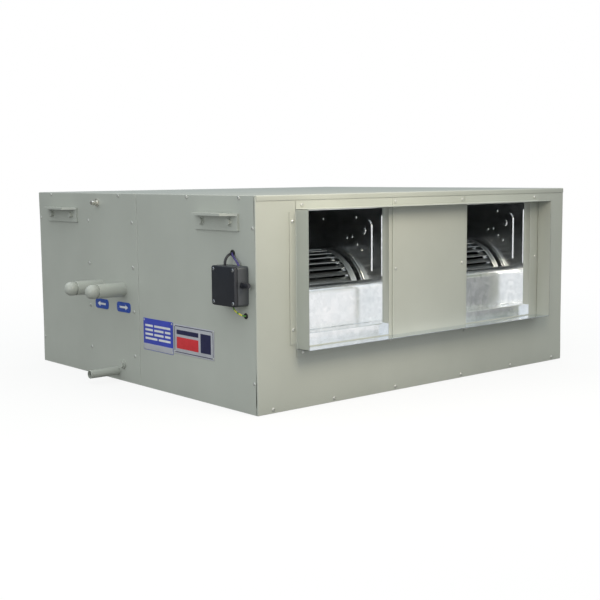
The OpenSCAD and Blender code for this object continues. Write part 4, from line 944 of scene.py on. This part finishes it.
class FANCOIL_OT_casing(bpy.types.Operator):
    """Folded casing sheets and rear frame"""
    bl_idname = "fan_coil.casing"
    bl_label = "Casing"

    def execute(self, context):
        sizes = context.scene.fan_coil_casing
        paint = finish(stove_enamel)
        drain_y = BOX["drain_pipe"][:, 1].mean()
        drain_z = BOX["drain_pipe"][:, 2].mean()
        frame_low, frame_high = BOX["filter_frame"]
        filter_y = BOX["filter_media"][:, 1].mean()
        filter_half = (BOX["filter_media"][1, 1] - BOX["filter_media"][0, 1]) / 2 + FILTER_RIM + FILTER_GAP
        cover = FILTER_COVER - FILTER_GAP
        inside = sizes.sheet + LIP_FIT
        slot = (filter_y - filter_half, filter_y + filter_half, frame_low[2] + cover, frame_high[2] - cover)
        sheets = {
            "front_panel": front_sheet(sizes),
            "left_fan_panel": side_sheet(sizes, -1, FRONT + SIDE_SEAM, SEAM_FAN, False),
            "left_coil_panel": side_sheet(sizes, -1, SEAM_COIL, SIDE_REAR, True),
            "right_fan_panel": side_sheet(sizes, 1, FRONT + SIDE_SEAM, SEAM_FAN, False),
            "right_coil_panel": side_sheet(sizes, 1, SEAM_COIL, SIDE_REAR, True, slot),
            "top_cover": lid_sheet(sizes, TOP, TOP_LIP, (inside, 0.0)),
            "base_tray": lid_sheet(sizes, 0.0, BASE_LIP, (inside, inside),
                                   (drain_y - DRAIN_ROOM, drain_y + DRAIN_ROOM), drain_z - DRAIN_ROOM),
        }
        for node, sheet in sheets.items():
            wall = sizes.sheet + (LID_EXTRA if node in ("top_cover", "base_tray") else 0.0)
            piece(node + "_sheet", [sheet], paint, stands_for=[node], wall=wall)
        dress("rear_frame", paint, sizes.edge)
        return {"FINISHED"}


LINING = 10 * MM
LINING_INSET = 22 * MM
LINING_GAP = 5.2 * MM
LINING_BULGE = 0.8 * MM
CORD_ROOM = 9 * MM
CRADLE_ROOM = 8 * MM


def foam_pad(axis, face, inwards, spans, holes=()):
    """Foam sheet: a flat grid that bulges inwards by a half sine both ways, with square holes left
    in it. face is its inner face along the axis, spans its reach along the other two axes."""
    room = (-CORD_ROOM, CORD_ROOM)
    first, second = (lines(*reach, 21, [spot[k] + step for spot in holes for step in room])
                     for k, reach in enumerate(spans))
    points = np.empty((len(first), len(second), 3))
    others = [k for k in range(3) if k != axis]
    points[..., others[0]] = first[:, None]
    points[..., others[1]] = second[None, :]
    points[..., axis] = face + inwards * dish(LINING_BULGE, first, second)
    keep = np.ones((len(first) - 1, len(second) - 1), bool)
    for spot in holes:
        rows, columns = (between(values, place - CORD_ROOM, place + CORD_ROOM)
                         for values, place in zip((first, second), spot))
        keep &= ~(rows[:, None] & columns[None, :])
    return facing(surface(points, keep), inwards * np.eye(3)[axis])


class FANCOIL_OT_lining(bpy.types.Operator):
    """Foam sheets glued inside the casing"""
    bl_idname = "fan_coil.lining"
    bl_label = "Lining"

    def execute(self, context):
        sheet = context.scene.fan_coil_casing.sheet
        low, high = BOX["foam_lining"]
        wide = RIGHT - LINING_INSET
        fan_span = (low[1], SEAM_FAN - LINING_GAP)
        side_span = (sheet + LINING + MM, BOX["hanger_bolts"][:, 2].mean() - LINING_INSET)
        cradle = BOX["motor_cradle"][1, 0] + CRADLE_ROOM
        holes = [path[HOLE_AT, 1:] for path, _ in cord_paths()]
        pads = [foam_pad(2, PANEL_TOP - LINING, -1, ((-wide, wide), (low[1], high[1]))),
                foam_pad(2, sheet + LINING, 1, ((-wide, wide), BOX["drain_pan"][:, 1])),
                foam_pad(0, LEFT + sheet + LINING, 1, (fan_span, side_span), holes),
                foam_pad(0, RIGHT - sheet - LINING, -1, (fan_span, side_span))]
        pads += [foam_pad(2, sheet + LINING, 1, ((min(ends), max(ends)), fan_span))
                 for ends in ((-cradle, -wide), (cradle, wide))]
        foam = piece("foam_lining_pads", pads, finish(closed_foam),
                     stands_for=["foam_lining"], wall=LINING)
        return {"FINISHED"}


# Outlet collar

PLATE_GAP = 1.0 * MM
COLLAR_LEG_END = 10 * MM
COLLAR_WALL_SHARE = 0.95
PLATE_BEND, STRIP_BEND = 1.8 * MM, 0.9 * MM


def collar_parts(sizes):
    """Angles of the collar: an L-shaped outline with a rounded bend, carried along each side.
    The legs stop short of the corners and of the middle plate."""
    bend = 2.0 * MM
    skin = FRONT - sizes.sheet
    rim = BOX["collar_sides"][0, 1]
    wall_x = BOX["collar_top"][1, 0] - sizes.sheet / 2
    leg_x = BOX["collar_sides"][1, 0]
    low, high = BOX["collar_sides"][:, 2]
    leg_top = BOX["collar_top"][1, 2]
    leg_low = BOX["collar_bottom"][0, 2]
    plate = BOX["centre_plate"][1, 0] + PLATE_GAP
    up = np.array([low, low + COLLAR_LEG_END, high - COLLAR_LEG_END / 2, high])
    sides = []
    for side in (-1, 1):
        profile = fold([(side * leg_x, skin), (side * wall_x, skin), (side * wall_x, rim)], bend)
        leg = between(np.abs(profile[:, 0]), wall_x + bend / 2, leg_x + MM)
        keep = ~(leg[:, None] & np.array([True, False, True])[None, :])
        sides.append(facing(surface(extrude(profile, up, "xyz"), keep), (side, -1, 0)))
    along = np.array([-wall_x, -plate, plate, wall_x])
    rails = []
    for wall_z, leg_end in ((high, leg_top), (low, leg_low)):
        profile = fold([(rim, wall_z), (skin, wall_z), (skin, leg_end)], bend)
        leg = np.abs(profile[1:, 1] + profile[:-1, 1] - 2 * wall_z) > bend
        keep = ~(leg[:, None] & np.array([False, True, False])[None, :])
        rails.append(facing(surface(extrude(profile, along, "yzx"), keep), (0, -1, leg_end - wall_z)))
    return sides, rails


def formed_plate(half, depth, low, high, bend):
    """Shallow pan: an outline with two folded edges, carried up Z."""
    profile = fold([(-half, FRONT), (-half, FRONT - depth), (half, FRONT - depth), (half, FRONT)], bend)
    return facing(surface(extrude(profile, np.array([low, high]), "xyz")), (0, -1, 0))


class FANCOIL_OT_collar(bpy.types.Operator):
    """Outlet collar and the plate between the outlets"""
    bl_idname = "fan_coil.collar"
    bl_label = "Collar"

    def execute(self, context):
        sizes = context.scene.fan_coil_casing
        paint = finish(stove_enamel)
        sides, (upper, lower) = collar_parts(sizes)
        plate = BOX["centre_plate"]
        high = BOX["collar_sides"][1, 2]
        depth = FRONT - plate[0, 1]
        pan = formed_plate(plate[1, 0], depth, plate[0, 2], high - sizes.sheet, PLATE_BEND)
        strip = formed_plate(plate[1, 0], sizes.sheet, high, plate[1, 2], STRIP_BEND)
        for node, parts in (("collar_sides", sides), ("collar_top", [upper]), ("collar_bottom", [lower]),
                            ("centre_plate", [pan, strip])):
            enamel = finish(masked_enamel) if node == "collar_bottom" else paint
            piece(node + "_sheet", parts, enamel, stands_for=[node],
                  wall=sizes.sheet * COLLAR_WALL_SHARE)
        return {"FINISHED"}


class FANCOIL_OT_fixings(bpy.types.Operator):
    """Hanger brackets, bolts and screws"""
    bl_idname = "fan_coil.fixings"
    bl_label = "Fixings"

    def execute(self, context):
        for node in ("left_hangers", "right_hangers", "hanger_bolts"):
            dress(node, finish(stove_enamel))
        for node in ("casing_screws", "cradle_bolts"):
            dress(node, finish(zinc_plate))
        dress("lid_screws", finish(drawn_steel))
        return {"FINISHED"}


# Blowers

CUT_ANGLE, TOP_ANGLE = 155.5, 450.0
TONGUE_GAP = 3 * MM
TONGUE_TURN = 84.0
FLANGE_BEND, FLOOR_BEND = 1.5 * MM, 2.2 * MM
THROAT_INSET, THROAT_BEND = 26 * MM, 15 * MM
BEAD_LINE = [(-400, 386), (-405.5, 384), (-410.5, 377), (-411.5, 368), (-411.5, 330), (-411.5, 272)]
RIVETS = [(-360, 392), (-347, 347), (-329, 343.5), (-363, 330), (-379, 318), (-246, 385)]
BOSS = (-385.5, 362)
RIVET_SIZE, BOSS_SIZE = (3.2 * MM, 1.6 * MM), (8 * MM, 2.2 * MM)
EDGE_BEAD = [(-444, 398), (-444, 360), (-444, 320), (-444, 262)]
INLET_BEAD_R = 131 * MM
INLET_BEAD_SPAN = (196, 515)
EDGE_BEAD_SHARE, INLET_BEAD_SHARE = 0.6, 0.42


def scroll_radius(sizes, angle):
    """The scroll's radius grows evenly with the angle, from the cut-off to the outlet's top."""
    start = WHEEL_R + sizes.clearance
    return start + (OUTLET_TOP - FAN_Z - start) * (angle - CUT_ANGLE) / (TOP_ANGLE - CUT_ANGLE)


def scroll_sheet(sizes, x):
    """Scroll wrap: the spiral, then straight to the outlet and up a flange, carried along X."""
    angle = np.linspace(CUT_ANGLE, TOP_ANGLE, 146)
    radius = scroll_radius(sizes, angle)
    turn = np.radians(angle)
    spiral = np.column_stack([FAN_Y + radius * np.cos(turn), FAN_Z + radius * np.sin(turn)])
    lip = fold([spiral[-1], (OUTLET_Y, OUTLET_TOP), (OUTLET_Y, OUTLET_TOP + OUTLET_FLANGE)],
               FLANGE_BEND)
    profile = np.concatenate([spiral, lip[1:]])
    along = np.linspace(x - OUTLET_HALF, x + OUTLET_HALF, 9)
    wrap = surface(extrude(profile, along, "yzx"))
    return facing(wrap, -outwards(wrap, (x, FAN_Y, FAN_Z)))


def tongue_sheet(sizes, x):
    """Outlet floor and tongue: flange, floor, upright and the rolled bend up to the cut-off edge,
    carried along X."""
    edge_turn = np.radians(CUT_ANGLE)
    start = WHEEL_R + sizes.clearance
    tongue_y = FAN_Y - scroll_radius(sizes, 180.0) - TONGUE_GAP - 2 * sizes.sheet
    edge_y = FAN_Y + start * np.cos(edge_turn) - 2 * sizes.sheet
    bend = (edge_y - tongue_y) / (1 + np.cos(np.radians(TONGUE_TURN)))
    bend_z = FAN_Z + start * np.sin(edge_turn) - bend * np.sin(np.radians(TONGUE_TURN))
    sweep = np.radians(np.linspace(180, TONGUE_TURN, 13))
    roll = np.column_stack([tongue_y + bend + bend * np.cos(sweep), bend_z + bend * np.sin(sweep)])
    legs = fold([(OUTLET_Y, FOOT_LOW), (OUTLET_Y, OUTLET_LOW), (tongue_y, OUTLET_LOW), roll[0]],
                FLOOR_BEND)
    profile = np.concatenate([legs[:-1], roll])
    along = np.linspace(x - OUTLET_HALF, x + OUTLET_HALF, 9)
    return facing(surface(extrude(profile, along, "yzx")), (0, -1, 1))


def cone_ring(sizes, x, side):
    """Inlet cone: a quarter-round throat that narrows towards the wheel, turned about the axis."""
    centre = np.array([WHEEL_R - THROAT_INSET + THROAT_BEND, -THROAT_BEND])
    outer = WHEEL_R + sizes.clearance / 2
    quarter = np.linspace(0, np.pi / 2, 9)
    arc = np.column_stack([-np.sin(quarter), np.cos(quarter)])
    skin = centre + THROAT_BEND * arc
    back = centre + (THROAT_BEND - sizes.sheet) * arc
    foot = (outer, -sizes.sheet)
    profile = np.concatenate([[foot, (outer, 0)], skin, back[::-1], [foot]])
    return lathe(profile, (x + side * OUTLET_HALF, FAN_Y, FAN_Z), (side, 0, 0), 96)


def dome(place, radius, height, axis):
    """Low dome: a quarter ellipse turned about its axis, on a short foot sunk into its ground."""
    turn = np.linspace(0, np.pi / 2, 6)
    profile = np.column_stack([radius * np.cos(turn), height * np.sin(turn)])
    profile[-1, 0] = 0.0
    sunk = -0.3 * height
    return lathe(np.concatenate([[(0.0, sunk), (radius, sunk)], profile]), place, axis, 16)


def plate_marks(sizes, x):
    """Pressed beads, rivets and boss on the inside of a blower's two side plates. A bead is a tube
    along its line, half sunk in the plate."""
    turned, edge = [np.insert(smooth(np.array(line) * MM), 1, 0.0, axis=1)
                    for line in (BEAD_LINE, EDGE_BEAD)]
    turn = np.radians(np.linspace(*INLET_BEAD_SPAN, 97))
    ring = INLET_BEAD_R * np.column_stack([np.cos(turn), np.zeros(97), np.sin(turn)])
    beads = [(turned, sizes.bead), (edge, EDGE_BEAD_SHARE * sizes.bead),
             (ring + (FAN_Y, 0, FAN_Z), INLET_BEAD_SHARE * sizes.bead)]
    domes = [(spot, RIVET_SIZE) for spot in RIVETS] + [(BOSS, BOSS_SIZE)]
    parts = []
    for side in (-1, 1):
        wall = x + side * OUTLET_HALF
        for path, radius in beads:
            verts, faces = tube(path, radius, 12)
            parts.append((np.column_stack([wall + verts[:, 1], verts[:, 0], verts[:, 2]]), faces))
        parts += [dome((wall, y * MM, z * MM), *size, (-side, 0, 0)) for (y, z), size in domes]
    return parts


class FANCOIL_OT_blowers(bpy.types.Operator):
    """Scroll housings, tongues, inlet cones and outlet frames"""
    bl_idname = "fan_coil.blowers"
    bl_label = "Blowers"

    def execute(self, context):
        sizes = context.scene.fan_coil_blowers
        zinc = finish(galvanised_sheet)
        wraps = [scroll_sheet(sizes, x) for x in BLOWER_X]
        tongues = [tongue_sheet(sizes, x) for x in BLOWER_X]
        cones = [cone_ring(sizes, x, side) for x in BLOWER_X for side in (-1, 1)]
        marks = [part for x in BLOWER_X for part in plate_marks(sizes, x)]
        for node, parts in (("scroll_wraps", wraps), ("cutoff_plates", tongues)):
            piece(node + "_sheet", parts, zinc, stands_for=[node], wall=sizes.sheet)
        piece("inlet_rings_turned", cones, zinc, stands_for=["inlet_rings"])
        piece("side_plate_beads", marks, zinc)
        dress("scroll_side_plates", zinc)
        dress("outlet_frames", finish(masked_enamel))
        return {"FINISHED"}


TIP_INSET = 1.5 * MM
BLADE_SWEEP = 11.0
RING_RIM = 2.8
RING = [(8, 0), (8, 1.2), (4.6, 1.2), (4.0, RING_RIM), (1.0, RING_RIM), (0, 2.0), (0, 0.4), (0.8, -0.4),
        (0.8, -11.2), (0, -12), (0, -13.4), (0.8, -14.2), (1.8, -14.2), (1.8, 0), (8, 0)]
DISC_HALF, DISC_GRIP = 1.25 * MM, 6 * MM
HUB_R, HUB_BORE, HUB_HALF, HUB_RISE = 20 * MM, 8.1 * MM, 22 * MM, 3 * MM


def wheel_parts(sizes, x):
    """Blade cage: forward-curved blades as leaves about the axis, whose angle grows with the square
    of the way out, two end rings, each a band with rolled edges, a middle disc and a hub, turned about
    the axis. RING holds an end ring's outline as (inwards, out along the axis) in millimetres."""
    share = np.linspace(0, 1, 8)[None, :]
    phase = np.radians(360 / sizes.blades * np.arange(sizes.blades))[:, None]
    tip = WHEEL_R - TIP_INSET
    radius = tip - sizes.blade_depth * (1 - share)
    angle = phase + np.radians(BLADE_SWEEP) * share ** 2
    middle = np.stack([np.full(angle.shape, x - WHEEL_HALF + MM), FAN_Y + radius * np.cos(angle),
                       FAN_Z + radius * np.sin(angle)], axis=-1)
    step = np.gradient(middle, axis=1)
    normal = np.stack([np.zeros(angle.shape), -step[..., 2], step[..., 1]], axis=-1)
    normal *= sizes.blade_sheet / 2 / np.linalg.norm(normal, axis=-1, keepdims=True)
    blades = leaves(middle, normal, np.array([2 * WHEEL_HALF - 2 * MM, 0, 0]))
    ring = np.array(RING) * MM * (-1, 1) + (WHEEL_R, 0)
    rings = [lathe(ring, (x + side * (WHEEL_HALF - RING_RIM * MM), FAN_Y, FAN_Z), (side, 0, 0), 96)
             for side in (-1, 1)]
    grip = tip - sizes.blade_depth + DISC_GRIP
    upper = [(grip, DISC_HALF), (HUB_R + HUB_RISE, DISC_HALF), (HUB_R, HUB_RISE), (HUB_R, HUB_HALF - MM),
             (HUB_R - MM, HUB_HALF), (HUB_BORE, HUB_HALF)]
    lower = [(radius, -height) for radius, height in reversed(upper)]
    disc = lathe([*lower, *upper, lower[0]], (x, FAN_Y, FAN_Z), (1, 0, 0), 96)
    return [blades, *rings, disc]


class FANCOIL_OT_wheels(bpy.types.Operator):
    """Forward-curved wheels and their shaft"""
    bl_idname = "fan_coil.wheels"
    bl_label = "Wheels"

    def execute(self, context):
        sizes = context.scene.fan_coil_blowers
        for node, x in zip(("left_wheel", "right_wheel"), BLOWER_X):
            piece(node + "_cage", wheel_parts(sizes, x), finish(rolled_blades),
                  body="fan_rotor", stands_for=[node])
        dress("fan_shaft", finish(drawn_steel), 0.8 * MM)
        return {"FINISHED"}


class FANCOIL_OT_motor(bpy.types.Operator):
    """Motor between the blowers, with its cradle"""
    bl_idname = "fan_coil.motor"
    bl_label = "Motor"

    def execute(self, context):
        for node, maker, edge in (
                ("motor_shell", motor_enamel, 0.6 * MM), ("motor_bells", motor_enamel, 1.0 * MM),
                ("motor_stator", winding_wire, 0.0), ("motor_rotor", drawn_steel, 0.5 * MM),
                ("motor_bearings", drawn_steel, 0.4 * MM), ("motor_rings", rubber, 1.0 * MM),
                ("motor_cradle", galvanised_sheet, 0.4 * MM)):
            dress(node, finish(maker), edge)
        return {"FINISHED"}


# Coil and water side

def fin_leaves(sizes):
    """Fins: leaves across X, each a zigzag along Y, carried up Z."""
    low, high = BOX["fin_pack"]
    margin = sizes.fin_wave + sizes.fin_sheet
    count = int((high[0] - low[0] - 2 * margin) / sizes.fin_pitch)
    places = np.linspace(low[0] + margin, high[0] - margin, count)
    along = np.linspace(low[1], high[1], 17)
    wave = sizes.fin_wave * (np.arange(17) % 2 - 0.5)
    middle = np.stack(np.broadcast_arrays(places[:, None] + wave, along[None, :], low[2]), axis=-1)
    return leaves(middle, np.array([sizes.fin_sheet / 2, 0, 0]), np.array([0, 0, high[2] - low[2]]))


class FANCOIL_OT_coil(bpy.types.Operator):
    """Water coil: fins, tubes, bends, headers and end plates"""
    bl_idname = "fan_coil.coil"
    bl_label = "Coil"

    def execute(self, context):
        sizes = context.scene.fan_coil_coil
        piece("fin_pack_leaves", [fin_leaves(sizes)], finish(fin_foil),
              stands_for=["fin_pack"])
        for node in ("coil_tubes", "return_bends", "coil_headers"):
            dress(node, finish(copper_tube))
        for node in ("coil_end_left", "coil_end_right", "drain_pan"):
            dress(node, finish(galvanised_sheet))
        return {"FINISHED"}


STUB_WALL, DRAIN_WALL = 3.2 * MM, 1.6 * MM
TURNED = 0.4 * MM
CHAMFER = 0.6 * MM
CAP_FIT, CAP_TALL, CAP_GROOVE = 0.2 * MM, 16 * MM, 3 * MM


def stub_profile(radius, wall, root, end):
    """Pipe: bore, turned-down root, shoulder and plain end, as radius and reach to the left."""
    shoulder = -LIP_X - MM
    bore = radius - wall
    return [(bore, -root), (radius - TURNED, -root), (radius - TURNED, -shoulder),
            (radius, -shoulder + TURNED), (radius, -end - CHAMFER), (radius - CHAMFER, -end),
            (bore, -end), (bore, -root)]


def cap_profile(radius, reach):
    """Domed cap: a groove, a rim and an elliptic dome, as radius and reach past the stub."""
    rim = radius - CAP_FIT
    turn = np.linspace(0, np.pi / 2, 13)
    domed = np.column_stack([rim * np.cos(turn), reach - CAP_TALL + CAP_TALL * np.sin(turn)])
    domed[-1, 0] = 0.0
    foot = [(0.0, -MM), (rim - CAP_GROOVE, -MM), (rim - CAP_GROOVE, 2.8 * MM), (rim - 0.7 * MM, 3.1 * MM),
            (rim, 3.8 * MM)]
    return np.concatenate([foot, domed])


class FANCOIL_OT_water(bpy.types.Operator):
    """Capped water stubs, air vent, drain pipe and overflow plug"""
    bl_idname = "fan_coil.water"
    bl_label = "Water side"

    def execute(self, context):
        paint = finish(stove_enamel)
        low, high = BOX["water_stubs"]
        radius = (high[2] - low[2]) / 2
        middle_z = (high[2] + low[2]) / 2
        stub_ys = (low[1] + radius, high[1] - radius)
        pipe = stub_profile(radius, STUB_WALL, high[0], low[0])
        stubs = [lathe(pipe, (0, y, middle_z), (-1, 0, 0), 64) for y in stub_ys]
        domed = cap_profile(radius, low[0] - BOX["stub_caps"][0, 0])
        caps = [lathe(domed, (low[0], y, middle_z), (-1, 0, 0), 64) for y in stub_ys]
        piece("water_stubs_pipe", stubs, paint, stands_for=["water_stubs"])
        piece("stub_caps_domed", caps, paint, stands_for=["stub_caps"], sharp=50)
        low, high = BOX["drain_pipe"]
        pipe = stub_profile((high[2] - low[2]) / 2, DRAIN_WALL, high[0], low[0])
        centre = (0, (low[1] + high[1]) / 2, (low[2] + high[2]) / 2)
        piece("drain_pipe_open", [lathe(pipe, centre, (-1, 0, 0), 48)], paint,
              stands_for=["drain_pipe"])
        dress("overflow_plug", paint, 0.8 * MM)
        dress("vent_body", finish(nickel_plate), 0.5 * MM)
        dress("vent_screw", finish(nickel_plate), 0.4 * MM)
        return {"FINISHED"}


PLEAT_BEND = 1.2 * MM


def pleats(sizes):
    """Pleated fleece: a zigzag in Y up the filter with rounded folds, carried along X."""
    low, high = BOX["filter_media"]
    inset = sizes.fleece
    count = int((high[2] - low[2]) / sizes.pleat) * 2
    up = np.linspace(low[2] + inset, high[2] - inset, count + 1)
    deep = np.where(np.arange(count + 1) % 2, high[1] - inset, low[1] + inset)
    profile = fold(np.column_stack([deep, up]), PLEAT_BEND, 3)
    along = np.linspace(low[0], high[0], 13)
    return facing(surface(extrude(profile, along, "yzx")), (0, 1, 0)), profile, high[0] - low[0]


class FANCOIL_OT_filter(bpy.types.Operator):
    """Slide-out return air filter and its rails"""
    bl_idname = "fan_coil.filter"
    bl_label = "Filter"

    def execute(self, context):
        sizes = context.scene.fan_coil_coil
        sheet, profile, width = pleats(sizes)
        fleece = piece("filter_media_pleats", [sheet], finish(filter_fleece),
                       body="air_filter", stands_for=["filter_media"], wall=sizes.fleece)
        dress("filter_frame", finish(galvanised_sheet), 0.6 * MM)
        dress("filter_rails", finish(galvanised_sheet))
        return {"FINISHED"}


# Wiring and plates

BOX_CORNER = 6 * MM
BOX_WALL = 2.5 * MM
LID_EDGE = 2.4 * MM
LID_SCREW_RISE = 1.2 * MM


class FANCOIL_OT_wiring(bpy.types.Operator):
    """Terminal box, lid, block, gland and grommets"""
    bl_idname = "fan_coil.wiring"
    bl_label = "Wiring"

    def execute(self, context):
        low, high = BOX["terminal_box"]
        outline = rounded((high - low)[1:] / 2, BOX_CORNER, [0.0])[0] + (low + high)[1:] / 2
        wall = surface(extrude(outline, [low[0], high[0]], "yzx"), close_rows=True)
        wall = facing(wall, outwards(wall, (low + high) / 2))
        # The wall's colour is painted lighter than the lid's, as painted light on the box's sides.
        piece("terminal_box_wall", [wall], finish(wall_plastic_painted_lighter),
              stands_for=["terminal_box"], wall=BOX_WALL)
        low, high = BOX["terminal_lid"]
        face = (BOX["lid_screws"][0, 0] + LID_SCREW_RISE, *low[1:])
        piece("terminal_lid_moulded", [slab(face, high, BOX_CORNER, LID_EDGE)], finish(box_plastic),
              stands_for=["terminal_lid"])
        for node, maker, edge in (
                ("terminal_block", block_plastic, 0.8 * MM), ("cable_gland", box_plastic, 0.6 * MM),
                ("grommets", rubber, 0.6 * MM)):
            dress(node, finish(maker), edge)
        return {"FINISHED"}


# Print on the plates: cells as (left, low, right, top) in millimetres from the plate's lower left
# corner, seen from outside

INK, INK_CORNER = 0.12 * MM, 0.8 * MM
PLATE_CORNER, PLATE_EDGE = 2.0 * MM, 0.25 * MM
LABEL_LONG, LABEL_CORNER = 62 * MM, 8 * MM
STUD_SIZE, STUD_INSET = (2.2 * MM, 1.2 * MM), 4 * MM
FIELDS = [(8, 55, 40, 60), (46, 55, 112, 60), (8, 45, 40, 50), (46, 45, 84, 50), (90, 45, 112, 50),
          (8, 35, 40, 40), (46, 35, 84, 40), (90, 35, 112, 40), (8, 25, 58, 30), (64, 25, 112, 30)]
FOOT = [(1, 1, 121, 15)]
BORDER = [(3, 3, 151, 4.6), (3, 61.4, 151, 63), (3, 3, 4.6, 63), (149.4, 3, 151, 63)]
RED_BAR = [(12, 12, 96, 38)]
NAVY_BARS = [(104, 12, 142, 54), (12, 44, 96, 54)]


def printed(node, cells):
    """Thin blocks of ink on a plate, one for each cell."""
    low, high = BOX[node]
    parts = []
    for left, bottom, right, top in cells:
        start = (low[0] - INK, high[1] - right * MM, low[2] + bottom * MM)
        end = (low[0] + INK, high[1] - left * MM, low[2] + top * MM)
        parts.append(slab(start, end, INK_CORNER, INK / 2))
    return parts


def arrow(low, high, depth, sign):
    """Plain arrow: a shaft and a head as one outline."""
    middle_y, middle_z = (low[1] + high[1]) / 2, (low[2] + high[2]) / 2
    neck, tip, tail = 8 * MM, 20 * MM, -18 * MM
    thin, wide = 2.4 * MM, 6.5 * MM
    outline = [(tail, -thin), (neck, -thin), (neck, -wide), (tip, 0), (neck, wide), (neck, thin),
               (tail, thin)]
    spots = np.array([(middle_y + sign * y, middle_z + z) for y, z in outline])
    return prism(spots, (middle_y + sign * (neck + MM), middle_z), depth)


class FANCOIL_OT_plates(bpy.types.Operator):
    """Data plate with blank fields, name plate with plain bars and two flow arrows"""
    bl_idname = "fan_coil.plates"
    bl_label = "Plates"

    def execute(self, context):
        for node, maker, slot in (("data_plate", blue_anodised, "blue_plate"),
                                  ("name_plate", silver_anodised, "silver_plate")):
            piece(node + "_sheet", [slab(*BOX[node], PLATE_CORNER, PLATE_EDGE)], finish(maker),
                  stands_for=[node])
        for node, print_name, cells, maker, slot in (
                ("data_plate", "fields", FIELDS, white_ink, "silver_plate"),
                ("data_plate", "foot", FOOT, silver_anodised, "silver_plate"),
                ("name_plate", "border", BORDER, navy_ink, "blue_plate"),
                ("name_plate", "red_bar", RED_BAR, red_ink, "silver_plate"),
                ("name_plate", "navy_bars", NAVY_BARS, navy_ink, "blue_plate")):
            piece(node + "_" + print_name, printed(node, cells), finish(maker))
        low, high = BOX["flow_labels"]
        labels = [((low[0], low[1], low[2]), (high[0], low[1] + LABEL_LONG, high[2])),
                  ((low[0], high[1] - LABEL_LONG, low[2]), (high[0], high[1], high[2]))]
        piece("flow_labels_film", [slab(*label, LABEL_CORNER, PLATE_EDGE) for label in labels],
              finish(label_film), stands_for=["flow_labels"])
        depth = (low[0] - INK, low[0] + INK)
        arrows = [arrow(*label, depth, sign) for label, sign in zip(labels, (-1, 1))]
        piece("flow_arrows", arrows, finish(white_ink))
        studs = []
        for node in ("data_plate", "name_plate"):
            low, high = BOX[node]
            studs += [dome((low[0], y, z), *STUD_SIZE, (-1, 0, 0))
                      for y in (low[1] + STUD_INSET, high[1] - STUD_INSET)
                      for z in (low[2] + STUD_INSET, high[2] - STUD_INSET)]
        piece("plate_rivets", studs, finish(zinc_plate))
        return {"FINISHED"}


PIECES = (FANCOIL_OT_stage, FANCOIL_OT_cords, FANCOIL_OT_casing, FANCOIL_OT_lining, FANCOIL_OT_collar,
          FANCOIL_OT_fixings, FANCOIL_OT_blowers, FANCOIL_OT_wheels, FANCOIL_OT_motor, FANCOIL_OT_coil,
          FANCOIL_OT_water, FANCOIL_OT_filter, FANCOIL_OT_wiring, FANCOIL_OT_plates)
GROUPS = {"fan_coil_casing": CasingSizes, "fan_coil_blowers": BlowerSizes, "fan_coil_coil": CoilSizes,
          "fan_coil_colours": Colours}


class FANCOIL_PT_panel(bpy.types.Panel):
    """Lists the sizes, colours and pieces"""
    bl_idname = "FANCOIL_PT_panel"
    bl_label = "Ducted fan coil unit"
    bl_space_type = "VIEW_3D"
    bl_region_type = "UI"
    bl_category = "Fan coil"

    def draw(self, context):
        for name, group in GROUPS.items():
            column = self.layout.column()
            for key in group.__annotations__:
                column.prop(getattr(context.scene, name), key)
        for operator in PIECES:
            self.layout.operator(operator.bl_idname)


def register():
    """Registers the groups, the operators and the panel."""
    for cls in (*GROUPS.values(), *PIECES, FANCOIL_PT_panel):
        bpy.utils.register_class(cls)
    for name, group in GROUPS.items():
        setattr(bpy.types.Scene, name, PointerProperty(type=group))


def unregister():
    """Takes back all that register() added."""
    for name in GROUPS:
        delattr(bpy.types.Scene, name)
    for cls in reversed((*GROUPS.values(), *PIECES, FANCOIL_PT_panel)):
        bpy.utils.unregister_class(cls)


def main():
    """Registers the groups and builds every group of pieces in order."""
    register()
    for operator in PIECES:
        group, name = operator.bl_idname.split(".")
        getattr(getattr(bpy.ops, group), name)()


if __name__ == "__main__":
    main()
